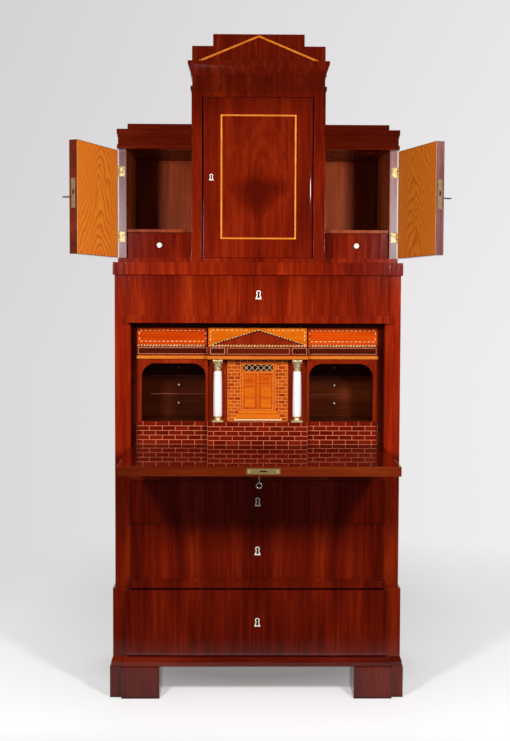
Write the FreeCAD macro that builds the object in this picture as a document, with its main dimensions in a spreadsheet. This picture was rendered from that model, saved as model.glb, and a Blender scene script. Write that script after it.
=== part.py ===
import FreeCAD, Part
import os
import re

# A fall-front escritoire with a tower cabinet, in millimetres.
# The front faces -Y, +Z is up, X = 0 is the middle and Y = 0 is the front of the case posts.

# Every independent length, written once
LENGTHS = {
    # case
    "case_half": 465.0,
    "case_depth": 408.0,
    "post_width": 51.0,
    "post_thick": 50.0,
    "side_thick": 22.0,
    "back_thick": 8.0,
    "shelf_thick": 14.0,
    # feet, plinth and pedestal
    "foot_height": 105.0,
    "foot_proud": 18.0,
    "foot_length": 164.0,
    "foot_end_width": 39.0,
    "foot_end_forward": 10.0,
    "foot_forward": 24.0,
    "front_foot_depth": 110.0,
    "rear_foot_depth": 90.0,
    "plinth_height": 33.0,
    "plinth_slope": 18.0,
    "plinth_set_in": 4.0,
    "pedestal_height": 226.0,
    "pedestal_proud": 7.5,
    "pedestal_forward": 8.0,
    # drawer zones and fronts
    "drawer_two_zone": 215.0,
    "drawer_one_zone": 142.0,
    "rail_height": 78.8,
    "frieze_zone": 155.0,
    "overlay_thick": 16.0,
    "overlay_lap": 6.0,
    "pedestal_lap": 11.5,
    "inset_proud": 10.0,
    "shut_gap": 0.5,
    "front_gap": 1.0,
    "ledge_height": 6.0,
    "tongue_thick": 14.0,
    "roll_radius": 14.0,
    "base_mould_height": 30.0,
    "base_mould_step": 10.0,
    "base_mould_lap": 5.5,
    "base_mould_forward": 12.0,
    "frieze_mould_height": 25.0,
    "frieze_mould_forward": 10.0,
    "frieze_mould_lap": 4.0,
    # drawer boxes
    "box_wall": 10.0,
    "box_floor": 7.0,
    "box_gap": 2.0,
    "box_top_gap": 12.0,
    "box_rear_gap": 22.0,
    # flap
    "flap_thick": 29.0,
    "flap_seat_gap": 0.7,
    "flap_side_gap": 1.0,
    "flap_top_gap": 2.0,
    "flap_recess": 2.0,
    "flap_tail_gap": 0.6,
    "opening_height": 403.5,
    "pivot_radius": 5.0,
    "pivot_length": 12.0,
    "pivot_gap": 0.05,
    "pivot_plate_thick": 3.0,
    "pivot_plate_length": 60.0,
    "pivot_plate_width": 16.0,
    "flap_lock_length": 98.0,
    "flap_lock_offset": 12.0,
    "flap_lock_width": 17.0,
    "lock_plate_thick": 3.0,
    "lock_plate_proud": 0.5,
    "flap_key_inset": 35.0,
    # keys
    "key_stem_radius": 2.0,
    "key_stem_out": 26.0,
    "key_stem_in": 14.0,
    "key_gap": 0.05,
    "key_bow_radius": 8.0,
    "key_bow_wire": 1.8,
    # main cornice
    "cornice_height": 41.0,
    "cornice_proud": 5.0,
    "cornice_end_width": 43.0,
    "cornice_end_forward": 12.0,
    "cornice_forward": 25.0,
    # upper cabinet
    "cabinet_base_height": 15.0,
    "cabinet_base_lip": 6.0,
    "cabinet_base_proud": 3.5,
    "tower_half": 216.0,
    "tower_post_width": 37.5,
    "tower_post_thick": 26.0,
    "tower_wall": 18.0,
    "tower_case_height": 536.0,
    "tower_door_head": 20.0,
    "tower_bead_height": 14.0,
    "tower_bead_proud": 3.5,
    "tower_neck_height": 31.0,
    "tower_neck_set_in": 2.0,
    "tower_step_height": 9.0,
    "tower_step_proud": 2.0,
    "tower_cove_height": 29.0,
    "tower_cove_proud": 12.0,
    "tower_fillet_height": 10.0,
    "tower_block_height": 48.5,
    "tower_block_set_in": 1.5,
    "tower_crest_height": 37.5,
    "tower_crest_set_in": 69.0,
    "tower_door_thick": 24.0,
    "tower_lock_gap": 4.0,
    "door_gap": 0.8,
    "wing_set_in": 12.0,
    "wing_setback": 28.0,
    "wing_side": 24.0,
    "wing_board": 16.0,
    "wing_opening_height": 349.0,
    "wing_ceiling_rise": 19.0,
    "wing_bead_height": 13.0,
    "wing_panel_height": 25.0,
    "wing_step_height": 8.0,
    "wing_step_forward": 5.0,
    "wing_slab_height": 16.0,
    "wing_slab_forward": 10.0,
    "wing_bead_forward": 4.0,
    "wing_lap": 3.0,
    "wing_block_height": 18.0,
    "wing_block_set_in": 31.0,
    "wing_shelf_level": 84.5,
    "wing_shelf_thick": 10.0,
    "wing_shelf_setback": 12.0,
    "wing_drawer_setback": 17.0,
    "wing_drawer_rear_gap": 55.0,
    "wing_knob_radius": 8.5,
    "wing_knob_neck": 4.0,
    "wing_knob_out": 14.0,
    "wing_knob_head": 8.0,
    # wing doors and hinges
    "wing_door_thick": 28.0,
    "wing_shut_gap": 0.5,
    "wing_tower_gap": 1.5,
    "hinge_offset": 2.2,
    "hinge_radius": 3.4,
    "hinge_pin_radius": 1.4,
    "hinge_length": 33.0,
    "hinge_inset": 69.0,
    "hinge_leaf_width": 19.0,
    "hinge_leaf_thick": 2.0,
    "hinge_split_gap": 0.3,
    "wing_lock_height": 90.0,
    "wing_lock_width": 14.0,
    "wing_lock_rise": 186.5,
    "wing_key_rise": 178.5,
    "wing_key_inset": 26.0,
    # door pivots
    "door_pivot_radius": 3.0,
    "door_pivot_length": 9.0,
    "door_plate_length": 30.0,
    "door_plate_thick": 3.0,
    # gallery in the writing compartment
    "gallery_side": 13.0,
    "gallery_front": 64.0,
    "gallery_case_front": 52.0,
    "portico_front": 40.0,
    "portico_wall": 80.0,
    "gallery_board": 15.0,
    "gallery_panel": 12.0,
    "gallery_plinth_height": 76.0,
    "gallery_drawer_height": 63.0,
    "architrave_height": 30.5,
    "gallery_mould_height": 10.5,
    "gallery_mould_proud": 5.0,
    "portico_half": 165.0,
    "partition_thick": 9.0,
    "gallery_drawer_rear_gap": 86.0,
    "gallery_drawer_wall": 6.0,
    "arch_outer_margin": 16.0,
    "arch_inner_margin": 5.0,
    "arch_drop": 15.0,
    "arch_radius": 46.0,
    "arch_thick": 8.0,
    "nest_front": 262.0,
    "nest_set_in": 30.0,
    "nest_wall": 10.0,
    "nest_base_height": 16.5,
    "nest_divider": 3.0,
    "nest_head_gap": 3.0,
    "nest_gap": 0.6,
    "nest_ceiling": 9.0,
    "nest_knob_radius": 4.0,
    "nest_knob_out": 8.0,
    "nest_knob_head": 5.0,
    "nest_drawer_rear_gap": 13.0,
    "gallery_door_set_in": 63.0,
    # columns
    "column_set_in": 33.5,
    "column_margin": 1.0,
    "column_plinth_height": 6.0,
    "column_base_height": 11.5,
    "column_base_set_in": 1.5,
    "column_capital_height": 40.0,
    "column_abacus_height": 6.0,
    "column_foot_step": 3.0,
    "column_taper": 2.0,
}

# Angles in degrees
ANGLES = {
    "left_open_angle": 115.0,
    "right_open_angle": 111.0,
    "flap_stop_angle": 1.2,
}

# Levels and limits that follow from the lengths
DERIVED = {
    "opening_half": "case_half - post_width",
    "inner_half": "case_half - side_thick",
    "inner_back": "case_depth - back_thick",
    "foot_half": "case_half + foot_proud",
    "cornice_half": "case_half + cornice_proud",
    "cornice_centre_half": "cornice_half - cornice_end_width",
    "wing_half": "case_half - wing_set_in",
    "tower_crest_half": "tower_half - tower_crest_set_in",
    "box_half": "case_half - post_width - box_gap",
    "plinth_top": "foot_height + plinth_height",
    "pedestal_top": "plinth_top + pedestal_height",
    "line_two": "pedestal_top + drawer_two_zone",
    "line_one": "line_two + drawer_one_zone",
    "rail_top": "line_one + rail_height",
    "flap_low": "rail_top + flap_seat_gap",
    "flap_top": "flap_low + flap_thick",
    "flap_half": "opening_half - flap_side_gap",
    "pivot_level": "flap_low + flap_thick / 2",
    "pivot_depth": "flap_recess + flap_thick / 2",
    "opening_top": "flap_top + opening_height",
    "flap_reach": "opening_top - flap_top_gap - pivot_level",
    "floor_front": "pivot_depth + flap_thick / 2 + flap_tail_gap",
    "cornice_low": "opening_top + frieze_zone",
    "cornice_top": "cornice_low + cornice_height",
    "cabinet_low": "cornice_top + cabinet_base_height",
    "tower_case_top": "cabinet_low + tower_case_height",
    "tower_door_half": "tower_half - tower_post_width",
    "tower_door_top": "tower_case_top - tower_door_head",
    "wing_head": "cabinet_low + wing_opening_height",
    "wing_ceiling": "wing_head + wing_ceiling_rise",
    "wing_inner": "wing_half - wing_side",
    "wing_step_low": "wing_head + wing_bead_height + wing_panel_height",
    "wing_slab_low": "wing_step_low + wing_step_height",
    "wing_slab_top": "wing_slab_low + wing_slab_height",
    "wing_reach": "wing_half + hinge_offset - tower_half - wing_tower_gap",
    "wing_face": "wing_shut_gap / 2 + wing_door_thick",
    "wing_shelf_low": "cabinet_low + wing_shelf_level",
    "wing_drawer_front": "wing_setback + wing_drawer_setback",
    "wing_drawer_rear": "inner_back - wing_drawer_rear_gap",
    "gallery_half": "opening_half - flap_side_gap",
    "facade_half": "gallery_half - gallery_side",
    "niche_floor": "flap_top + gallery_plinth_height",
    "gallery_top": "opening_top - gallery_board",
    "frieze_low": "gallery_top - gallery_drawer_height",
    "architrave_low": "frieze_low - architrave_height",
    "entablature_low": "architrave_low - gallery_mould_height",
    "arch_inner": "portico_half + arch_inner_margin",
    "arch_outer": "facade_half - arch_outer_margin",
    "arch_top": "entablature_low - arch_drop",
    "nest_inner": "portico_half + partition_thick",
    "nest_outer": "facade_half - nest_set_in",
    "nest_drawer_rear": "inner_back - nest_drawer_rear_gap",
    "gallery_drawer_rear": "inner_back - gallery_drawer_rear_gap",
    "gallery_door_half": "portico_half - gallery_door_set_in",
    "column_offset": "portico_half - column_set_in",
    "column_depth": "(portico_front + portico_wall) / 2",
    "column_plinth": "portico_wall - portico_front - 2 * column_margin",
    "column_base_radius": "column_plinth / 2 - column_base_set_in",
    "column_foot_radius": "column_base_radius - column_foot_step",
    "column_head_radius": "column_foot_radius - column_taper",
    "nest_low": "niche_floor + nest_base_height",
    "nest_top": "entablature_low - nest_divider - nest_head_gap",
    "nest_pitch": "(nest_top - nest_low + nest_divider) / 3",
    "nest_middle": "(nest_inner + nest_outer) / 2",
    "leaf_radius": "gallery_panel / 2",
    "door_radius": "tower_door_thick / 2",
}

NAME = re.compile(r"[a-z][a-z0-9_]*")
TURNS = {
    "x": FreeCAD.Rotation(FreeCAD.Vector(0, 1, 0), 90),
    "y": FreeCAD.Rotation(FreeCAD.Vector(1, 0, 0), -90),
    "z": FreeCAD.Rotation(),
}
UPRIGHT = FreeCAD.Rotation(FreeCAD.Vector(1, 0, 0), 90)
BOTH_SIDES = ((-1, "left"), (1, "right"))

doc = FreeCAD.newDocument("escritoire")
sheet = doc.addObject("Spreadsheet::Sheet", "sheet")
nodes = []


def fill_sheet():
    """Write every size and every derived level to the sheet under its own name."""
    row = 1
    for table, lead in ((LENGTHS, ""), (ANGLES, ""), (DERIVED, "=")):
        for name, value in table.items():
            sheet.set(f"A{row}", name)
            sheet.set(f"B{row}", f"{lead}{value}")
            sheet.setAlias(f"B{row}", name)
            row += 1
    doc.recompute()


def bound(text):
    """Expression text with each size name pointed at the sheet."""
    return NAME.sub(lambda word: "sheet." + word.group(0), text)


def place(piece, centre):
    """Tie a piece's position to three expressions."""
    for axis, text in zip("xyz", centre):
        piece.setExpression(f"Placement.Base.{axis}", bound(text))


def board(name, x, y, z):
    """A squared board between two expressions along each axis."""
    piece = doc.addObject("Part::Box", name)
    for size, (low, high) in zip(("Length", "Width", "Height"), (x, y, z)):
        piece.setExpression(size, bound(f"({high}) - ({low})"))
    place(piece, (x[0], y[0], z[0]))
    return piece


def rod(name, axis, start, length, radius):
    """A round rod that runs from its start point along x, y or z."""
    piece = doc.addObject("Part::Cylinder", name)
    piece.Placement = FreeCAD.Placement(FreeCAD.Vector(), TURNS[axis])
    piece.setExpression("Radius", bound(radius))
    piece.setExpression("Height", bound(length))
    place(piece, start)
    return piece


def cone(name, start, length, low_radius, high_radius):
    """An upright round taper."""
    piece = doc.addObject("Part::Cone", name)
    piece.setExpression("Radius1", bound(low_radius))
    piece.setExpression("Radius2", bound(high_radius))
    piece.setExpression("Height", bound(length))
    place(piece, start)
    return piece


def ring(name, axis, centre, radius, wire):
    """A wire ring around an axis."""
    piece = doc.addObject("Part::Torus", name)
    piece.Placement = FreeCAD.Placement(FreeCAD.Vector(), TURNS[axis])
    piece.setExpression("Radius1", bound(radius))
    piece.setExpression("Radius2", bound(wire))
    place(piece, centre)
    return piece


def sloped(name, low_half, high_half, low_front, high_front, back, z):
    """A block whose front and ends lean from one outline at the bottom to another at the top."""
    piece = doc.addObject("Part::Wedge", name)
    piece.Placement = FreeCAD.Placement(FreeCAD.Vector(), UPRIGHT)
    spans = {
        "Xmin": f"-({low_half})", "Xmax": low_half, "X2min": f"-({high_half})", "X2max": high_half,
        "Ymin": z[0], "Ymax": z[1],
        "Zmin": f"-({back})", "Zmax": low_front, "Z2min": f"-({back})", "Z2max": high_front,
    }
    for size, text in spans.items():
        piece.setExpression(size, bound(text))
    return piece


def joined(name, pieces):
    """Several shapes as one solid."""
    piece = doc.addObject("Part::MultiFuse", name)
    piece.Shapes = pieces
    piece.Refine = True
    return piece


def hollowed(name, base, tools):
    """A solid with the tools cut out of it."""
    piece = doc.addObject("Part::Cut", name)
    piece.Base = base
    piece.Tool = tools[0] if len(tools) == 1 else joined(name + "_tools", tools)
    piece.Refine = True
    return piece


def grouped(name, pieces):
    """Several solids that stay apart, moved as one."""
    piece = doc.addObject("Part::Compound", name + "_group")
    piece.Links = pieces
    return piece


def node(label, pieces):
    """Hand in one named sub-part, which may be a group of solids."""
    piece = pieces[0] if len(pieces) == 1 else grouped(label, pieces)
    piece.Label = label
    nodes.append(piece)
    return piece


def span(side, inner, outer):
    """The x span between two distances from the middle, on one side."""
    if side > 0:
        return inner, outer
    return f"-({outer})", f"-({inner})"


def off(side, distance):
    """A distance from the middle, on one side."""
    return distance if side > 0 else f"-({distance})"


def wide(half):
    """The x span of a piece that is centred on the middle."""
    return f"-({half})", half


def build_feet():
    """Four block feet; the front pair steps back at the outer ends."""
    front, rear = [], []
    for side, word in BOTH_SIDES:
        end = board(f"foot_end_{word}", span(side, "foot_half - foot_end_width", "foot_half"),
                    ("-foot_end_forward", "front_foot_depth"), ("0", "foot_height"))
        block = board(f"foot_block_{word}", span(side, "foot_half - foot_length", "foot_half - foot_end_width"),
                      ("-foot_forward", "front_foot_depth"), ("0", "foot_height"))
        front.append(joined(f"front_foot_{word}", [end, block]))
        rear.append(board(f"rear_foot_{word}", span(side, "foot_half - foot_length", "foot_half"),
                          ("case_depth - rear_foot_depth", "case_depth"), ("0", "foot_height")))
    node("feet", front + rear)


def build_plinth():
    """The base moulding under the pedestal, with a break at both ends."""
    level = "plinth_top - plinth_slope"
    ends_half = "foot_half - plinth_set_in"
    centre_half = "foot_half - foot_end_width - plinth_set_in"
    top_half = "case_half + pedestal_proud"
    parts = [
        board("plinth_ends", wide(ends_half), ("-(foot_end_forward)", "case_depth"), ("foot_height", level)),
        board("plinth_centre", wide(centre_half), ("-(foot_forward - plinth_set_in)", "case_depth"),
              ("foot_height", level)),
        sloped("plinth_end_slope", ends_half, top_half, "foot_end_forward", "pedestal_forward",
               "case_depth", (level, "plinth_top")),
        sloped("plinth_centre_slope", centre_half, f"{centre_half} - plinth_set_in",
               "foot_forward - plinth_set_in", "pedestal_forward + plinth_set_in",
               "case_depth", (level, "plinth_top")),
    ]
    node("plinth_moulding", [joined("plinth_joined", parts)])


def build_case():
    """Posts, sides, back and the facings of the pedestal."""
    posts, sides, cheeks = [], [], []
    for side, word in BOTH_SIDES:
        post = board(f"post_block_{word}", span(side, "opening_half", "case_half"),
                     ("0", "post_thick"), ("plinth_top", "cornice_low"))
        start = "opening_half" if side > 0 else "-(opening_half + pivot_length + front_gap)"
        bore = rod(f"post_bore_{word}", "x", (start, "pivot_depth", "pivot_level"),
                   "pivot_length + front_gap", "pivot_radius + pivot_gap")
        posts.append(hollowed(f"post_{word}", post, [bore]))
        sides.append(board(f"side_{word}", span(side, "inner_half", "case_half"),
                           ("post_thick", "case_depth"), ("plinth_top", "cornice_low")))
        face = board(f"cheek_face_{word}", span(side, "opening_half", "case_half + pedestal_proud"),
                     ("-pedestal_forward", "0"), ("plinth_top", "pedestal_top"))
        flank = board(f"cheek_flank_{word}", span(side, "case_half", "case_half + pedestal_proud"),
                      ("0", "case_depth"), ("plinth_top", "pedestal_top"))
        cheeks.append(joined(f"cheek_{word}", [face, flank]))
    node("case_posts", posts)
    node("case_sides", sides)
    node("pedestal_cheeks", cheeks)
    node("back_panel", [board("back_board", wide("inner_half"), ("inner_back", "case_depth"),
                              ("plinth_top", "cornice_low"))])


def shelf(name, low, high, front="0"):
    """A board across the case that is notched around the posts."""
    rear = board(f"{name}_rear", wide("inner_half"), ("post_thick", "inner_back"), (low, high))
    neck = board(f"{name}_neck", wide("opening_half"), (front, "post_thick"), (low, high))
    return joined(name, [rear, neck])


def build_shelves():
    """The boards that carry the drawers, the writing floor and its ceiling."""
    half = "shelf_thick / 2"
    ledge = board("pedestal_ledge", wide("opening_half"), ("-pedestal_forward", "0"),
                  ("pedestal_top - ledge_height / 2", "pedestal_top + ledge_height / 2"))
    node("dust_boards", [
        shelf("bottom_board", "plinth_top", "plinth_top + shelf_thick"),
        shelf("dust_board_low", f"pedestal_top - {half}", f"pedestal_top + {half}"),
        shelf("dust_board_high", f"line_two - {half}", f"line_two + {half}"),
        shelf("dust_board_top", "line_one", "line_one + shelf_thick"),
        ledge,
    ])
    node("flap_rail", [board("flap_rail_board", wide("opening_half + overlay_lap"),
                             ("shut_gap - overlay_thick", "0"), ("line_one + front_gap", "rail_top"))])
    node("writing_floor", [shelf("floor_board", "flap_top - shelf_thick", "flap_top", "floor_front")])
    node("writing_ceiling", [shelf("ceiling_board", "opening_top", "opening_top + shelf_thick")])


def build_cornice():
    """The flat cornice slab over the lower case, with a break at both ends."""
    level = ("cornice_low", "cornice_top")
    parts = [
        board("cornice_ends", wide("cornice_half"), ("-cornice_end_forward", "case_depth"), level),
        board("cornice_centre", wide("cornice_centre_half"), ("-cornice_forward", "case_depth"), level),
    ]
    node("main_cornice", [joined("cornice_joined", parts)])


def box_boards(name, half, y, z, wall="box_wall"):
    """Sides, back and bottom of a drawer box."""
    boards = []
    for side, word in BOTH_SIDES:
        boards.append(board(f"{name}_side_{word}", span(side, f"{half} - {wall}", half), y, z))
    inner = wide(f"{half} - {wall}")
    boards.append(board(f"{name}_rear", inner, (f"{y[1]} - {wall}", y[1]), z))
    boards.append(board(f"{name}_bottom", inner, (y[0], f"{y[1]} - {wall}"), (z[0], f"{z[0]} + box_floor")))
    return boards


def build_case_drawer(name, front_pieces, box_low, box_high):
    """One of the four wide drawers: its front with a tongue behind it, and its box."""
    tongue = board(f"{name}_tongue", wide("box_half"), ("-shut_gap", "tongue_thick"), (box_low, box_high))
    node(f"{name}_front", [joined(f"{name}_front_joined", front_pieces + [tongue])])
    node(f"{name}_box", box_boards(f"{name}_box", "box_half", ("tongue_thick", "inner_back - box_rear_gap"),
                                   (box_low, f"{box_high} - box_top_gap")))


def build_case_drawers():
    """The frieze drawer and the three drawers below the flap."""
    half = "shelf_thick / 2"
    lap = wide("opening_half + overlay_lap")
    slab = ("-overlay_thick", "-shut_gap")

    frieze_low = "opening_top + frieze_mould_height"
    frieze = [
        board("frieze_slab", lap, slab, (frieze_low, "cornice_low - front_gap")),
        board("frieze_mould", wide("opening_half + overlay_lap + frieze_mould_lap"),
              ("-(overlay_thick + frieze_mould_forward)", "-shut_gap"), ("opening_top", frieze_low)),
    ]
    build_case_drawer("frieze_drawer", frieze, "opening_top + shelf_thick", "cornice_low - front_gap")

    one = [board("drawer_one_slab", lap, slab, ("line_two + shut_gap", "line_one"))]
    build_case_drawer("drawer_one", one, f"line_two + {half}", "line_one - front_gap")

    mould_low = "pedestal_top + ledge_height / 2 + shut_gap"
    mould_top = "pedestal_top + ledge_height / 2 + base_mould_height"
    mould_half = "opening_half + base_mould_lap"
    mould_front = "inset_proud + base_mould_forward"
    two = [
        board("drawer_two_slab", wide("box_half"), ("-inset_proud", "0"), (mould_low, "line_two - shut_gap")),
        board("drawer_two_mould", wide(mould_half), (f"-({mould_front})", "-shut_gap"),
              (mould_low, f"{mould_top} - base_mould_step")),
        board("drawer_two_step", wide(f"{mould_half} - base_mould_lap / 2"),
              (f"-({mould_front} - base_mould_forward / 2)", "-shut_gap"),
              (f"{mould_top} - base_mould_step", mould_top)),
    ]
    build_case_drawer("drawer_two", two, f"pedestal_top + {half}", f"line_two - {half} - front_gap")

    pedestal_lap = wide("opening_half + pedestal_lap")
    three_low = "plinth_top + front_gap"
    face = "-(pedestal_forward + overlay_thick)"
    rear = "-(pedestal_forward + shut_gap)"
    roll = rod("drawer_three_round", "x",
               (pedestal_lap[0], f"{face} + roll_radius", f"{three_low} + roll_radius"),
               "2 * (opening_half + pedestal_lap)", "roll_radius")
    behind = board("drawer_three_behind", pedestal_lap, (rear, f"{face} + 2 * roll_radius"),
                   (three_low, f"{three_low} + 2 * roll_radius"))
    three = [
        board("drawer_three_slab", pedestal_lap, (face, rear),
              (f"{three_low} + roll_radius", "pedestal_top - ledge_height / 2 - shut_gap")),
        board("drawer_three_heel", pedestal_lap, (f"{face} + roll_radius", rear),
              (three_low, f"{three_low} + roll_radius")),
        hollowed("drawer_three_roll", roll, [behind]),
        board("drawer_three_neck", wide("box_half"), (rear, "0"),
              ("plinth_top + shelf_thick", f"pedestal_top - {half} - front_gap")),
    ]
    build_case_drawer("drawer_three", three, "plinth_top + shelf_thick", f"pedestal_top - {half} - front_gap")


def let_down(piece):
    """Hang a piece built level around the flap's pivots on the case, at the angle where the flap stops."""
    turn = FreeCAD.Rotation(FreeCAD.Vector(1, 0, 0), ANGLES["flap_stop_angle"])
    piece.Placement = FreeCAD.Placement(FreeCAD.Vector(), turn)
    place(piece, ("0", "pivot_depth", "pivot_level"))
    return piece


def build_flap():
    """The fall front with its end pivots, lock plate and key, built level around the pivots and let down."""
    half_thick = "flap_thick / 2"
    slab = board("flap_slab", wide("flap_half"), ("-flap_reach", "0"), wide(half_thick))
    tail = rod("flap_tail", "x", ("-flap_half", "0", "0"), "2 * flap_half", half_thick)
    lock_x = ("flap_lock_offset - flap_lock_length / 2", "flap_lock_offset + flap_lock_length / 2")
    lock_y = ("-flap_reach", "lock_plate_thick - lock_plate_proud - flap_reach")
    lock_z = wide("flap_lock_width / 2")
    key_y = "flap_key_inset - flap_reach"
    tools = [
        board("flap_lock_mortise", lock_x, lock_y, lock_z),
        rod("flap_key_bore", "z", ("0", key_y, f"-({half_thick})"), "key_stem_in + front_gap",
            "key_stem_radius + key_gap"),
    ]
    plate_y = ("-pivot_plate_length", "pivot_plate_width / 2")
    plate_z = wide("pivot_plate_width / 2")
    pivots = []
    for side, word in BOTH_SIDES:
        plate_x = span(side, "flap_half - pivot_plate_thick", "flap_half")
        tools.append(board(f"flap_pivot_mortise_{word}", plate_x, plate_y, plate_z))
        plate = board(f"flap_pivot_plate_{word}", plate_x, plate_y, plate_z)
        reach = "flap_half - pivot_plate_thick" if side > 0 else "-(opening_half + pivot_length)"
        pin = rod(f"flap_pivot_pin_{word}", "x", (reach, "0", "0"),
                  "flap_side_gap + pivot_plate_thick + pivot_length", "pivot_radius")
        pivots.append(joined(f"flap_pivot_{word}", [plate, pin]))
    let_down(node("flap_panel", [hollowed("flap_body", joined("flap_blank", [slab, tail]), tools)]))
    let_down(node("flap_pivots", pivots))
    plate = board("flap_lock_plate", lock_x, (f"{lock_y[0]} - lock_plate_proud", lock_y[1]), lock_z)
    let_down(node("flap_lock", [grouped("flap_lock_plate", [plate])]))
    stem = rod("flap_key_stem", "z", ("0", key_y, f"-({half_thick}) - key_stem_out"),
               "key_stem_out + key_stem_in", "key_stem_radius")
    bow = ring("flap_key_bow", "y", ("0", key_y, f"-({half_thick}) - key_stem_out - key_bow_radius"),
               "key_bow_radius", "key_bow_wire")
    let_down(node("flap_key", [joined("flap_key_joined", [stem, bow])]))


def build_gallery_case():
    """The boards of the inner cabinet behind the flap."""
    rear = "inner_back"
    boards = [
        board("gallery_roof", wide("facade_half"), ("gallery_case_front", rear), ("gallery_top", "opening_top")),
        board("gallery_shelf", wide("facade_half"), ("gallery_front + gallery_panel", rear),
              ("frieze_low - gallery_panel", "frieze_low")),
        board("temple_floor", wide("portico_half"), ("portico_wall + gallery_panel", rear),
              ("niche_floor - gallery_panel", "niche_floor")),
    ]
    for side, word in BOTH_SIDES:
        niche = span(side, "portico_half", "facade_half")
        nest = span(side, "nest_inner", "nest_outer")
        divider_x = span(side, "portico_half - nest_divider / 2", "portico_half + nest_divider / 2")
        boards += [
            board(f"gallery_side_{word}", span(side, "facade_half", "gallery_half"), ("gallery_case_front", rear),
                  ("flap_top", "opening_top")),
            board(f"gallery_divider_{word}", divider_x, ("gallery_front + gallery_panel", rear),
                  ("frieze_low", "gallery_top")),
            board(f"niche_floor_{word}", niche, ("gallery_front + gallery_panel", rear),
                  ("niche_floor - gallery_panel", "niche_floor")),
            board(f"niche_ceiling_{word}", span(side, "nest_inner", "facade_half"),
                  ("gallery_front + gallery_panel", rear), ("entablature_low", "entablature_low + nest_ceiling")),
            board(f"partition_{word}", span(side, "portico_half", "nest_inner"),
                  ("gallery_front + gallery_panel", rear), ("niche_floor", "frieze_low - gallery_panel")),
            board(f"nest_wall_{word}", span(side, "nest_outer", "nest_outer + nest_wall"), ("nest_front", rear),
                  ("niche_floor", "entablature_low")),
            board(f"nest_filler_{word}", span(side, "nest_outer + nest_wall", "facade_half"),
                  ("nest_front", "nest_front + nest_wall"), ("niche_floor", "entablature_low")),
            board(f"nest_base_{word}", nest, ("nest_front", rear), ("niche_floor", "nest_low")),
            board(f"portico_jamb_{word}", span(side, "gallery_door_half + door_gap", "portico_half"),
                  ("portico_wall", "portico_wall + gallery_panel"), ("niche_floor", "entablature_low")),
        ]
        for tier in (1, 2):
            top = f"nest_low + {tier} * nest_pitch"
            boards.append(board(f"nest_divider_{word}_{tier}", nest, ("nest_front", rear),
                                (f"{top} - nest_divider", top)))
    node("gallery_case", boards)


def build_gallery_front():
    """Arches, entablature and brick plinths of the inner cabinet."""
    arches, entablature, plinths = [], [], []
    mould_z = ("entablature_low", "architrave_low")
    beam_z = ("architrave_low", "frieze_low")
    for side, word in BOTH_SIDES:
        bay = span(side, "portico_half", "facade_half")
        panel_y = ("gallery_front", "gallery_front + gallery_panel")
        sheet_y = ("gallery_front", "gallery_front + arch_thick")
        panel = board(f"arch_panel_{word}", bay, sheet_y, ("niche_floor", "entablature_low"))
        lower = board(f"arch_lower_{word}", span(side, "arch_inner", "arch_outer"), sheet_y,
                      ("niche_floor", "arch_top - arch_radius"))
        upper = board(f"arch_upper_{word}", span(side, "arch_inner + arch_radius", "arch_outer - arch_radius"),
                      sheet_y, ("arch_top - arch_radius", "arch_top"))
        tools = [lower, upper]
        for end, middle in (("inner", "arch_inner + arch_radius"), ("outer", "arch_outer - arch_radius")):
            tools.append(rod(f"arch_round_{word}_{end}", "y",
                             (off(side, middle), "gallery_front", "arch_top - arch_radius"),
                             "arch_thick", "arch_radius"))
        arches.append(hollowed(f"arch_{word}", panel, tools))
        mould = board(f"entablature_mould_{word}", bay,
                      ("gallery_front - gallery_mould_proud", "gallery_front + gallery_panel"), mould_z)
        beam = board(f"entablature_beam_{word}", bay, panel_y, beam_z)
        entablature.append(joined(f"entablature_{word}", [mould, beam]))
        plinths.append(board(f"brick_plinth_{word}", bay, panel_y, ("flap_top", "niche_floor")))
    deep = ("portico_front", "portico_wall + gallery_panel")
    pivot_x = "leaf_radius - gallery_door_half"
    pivot_y = "portico_wall + leaf_radius"
    centre = joined("entablature_centre_blank", [
        board("entablature_mould_centre", wide("portico_half"),
              ("portico_front - gallery_mould_proud", deep[1]), mould_z),
        board("entablature_beam_centre", wide("portico_half"), ("portico_front", "gallery_front + gallery_panel"),
              beam_z),
    ])
    bore_radius = "door_pivot_radius + pivot_gap"
    bore_length = "door_pivot_length + front_gap"
    entablature.append(hollowed("entablature_centre", centre, [
        rod("gallery_door_top_bore", "z", (pivot_x, pivot_y, "entablature_low"), bore_length, bore_radius)]))
    block = board("brick_plinth_block", wide("portico_half"), deep, ("flap_top", "niche_floor"))
    plinths.append(hollowed("brick_plinth_centre", block, [
        rod("gallery_door_low_bore", "z", (pivot_x, pivot_y, f"niche_floor - ({bore_length})"),
            bore_length, bore_radius)]))
    node("gallery_arches", arches)
    node("gallery_entablature", entablature)
    node("brick_plinths", plinths)


def build_gallery_door():
    """The temple door between the columns, on round pivots at its left edge."""
    low = "niche_floor + front_gap"
    high = "entablature_low - front_gap"
    pivot = ("leaf_radius - gallery_door_half", "portico_wall + leaf_radius")
    leaf = board("gallery_leaf", (pivot[0], "gallery_door_half"), ("portico_wall", "portico_wall + gallery_panel"),
                 (low, high))
    edge = rod("gallery_leaf_edge", "z", (*pivot, low), f"{high} - ({low})", "leaf_radius")
    reach = "front_gap + door_pivot_length"
    pins = [
        rod("gallery_pin_low", "z", (*pivot, f"{low} - ({reach})"), reach, "door_pivot_radius"),
        rod("gallery_pin_top", "z", (*pivot, high), reach, "door_pivot_radius"),
    ]
    node("gallery_door", [joined("gallery_door_joined", [leaf, edge] + pins)])


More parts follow.
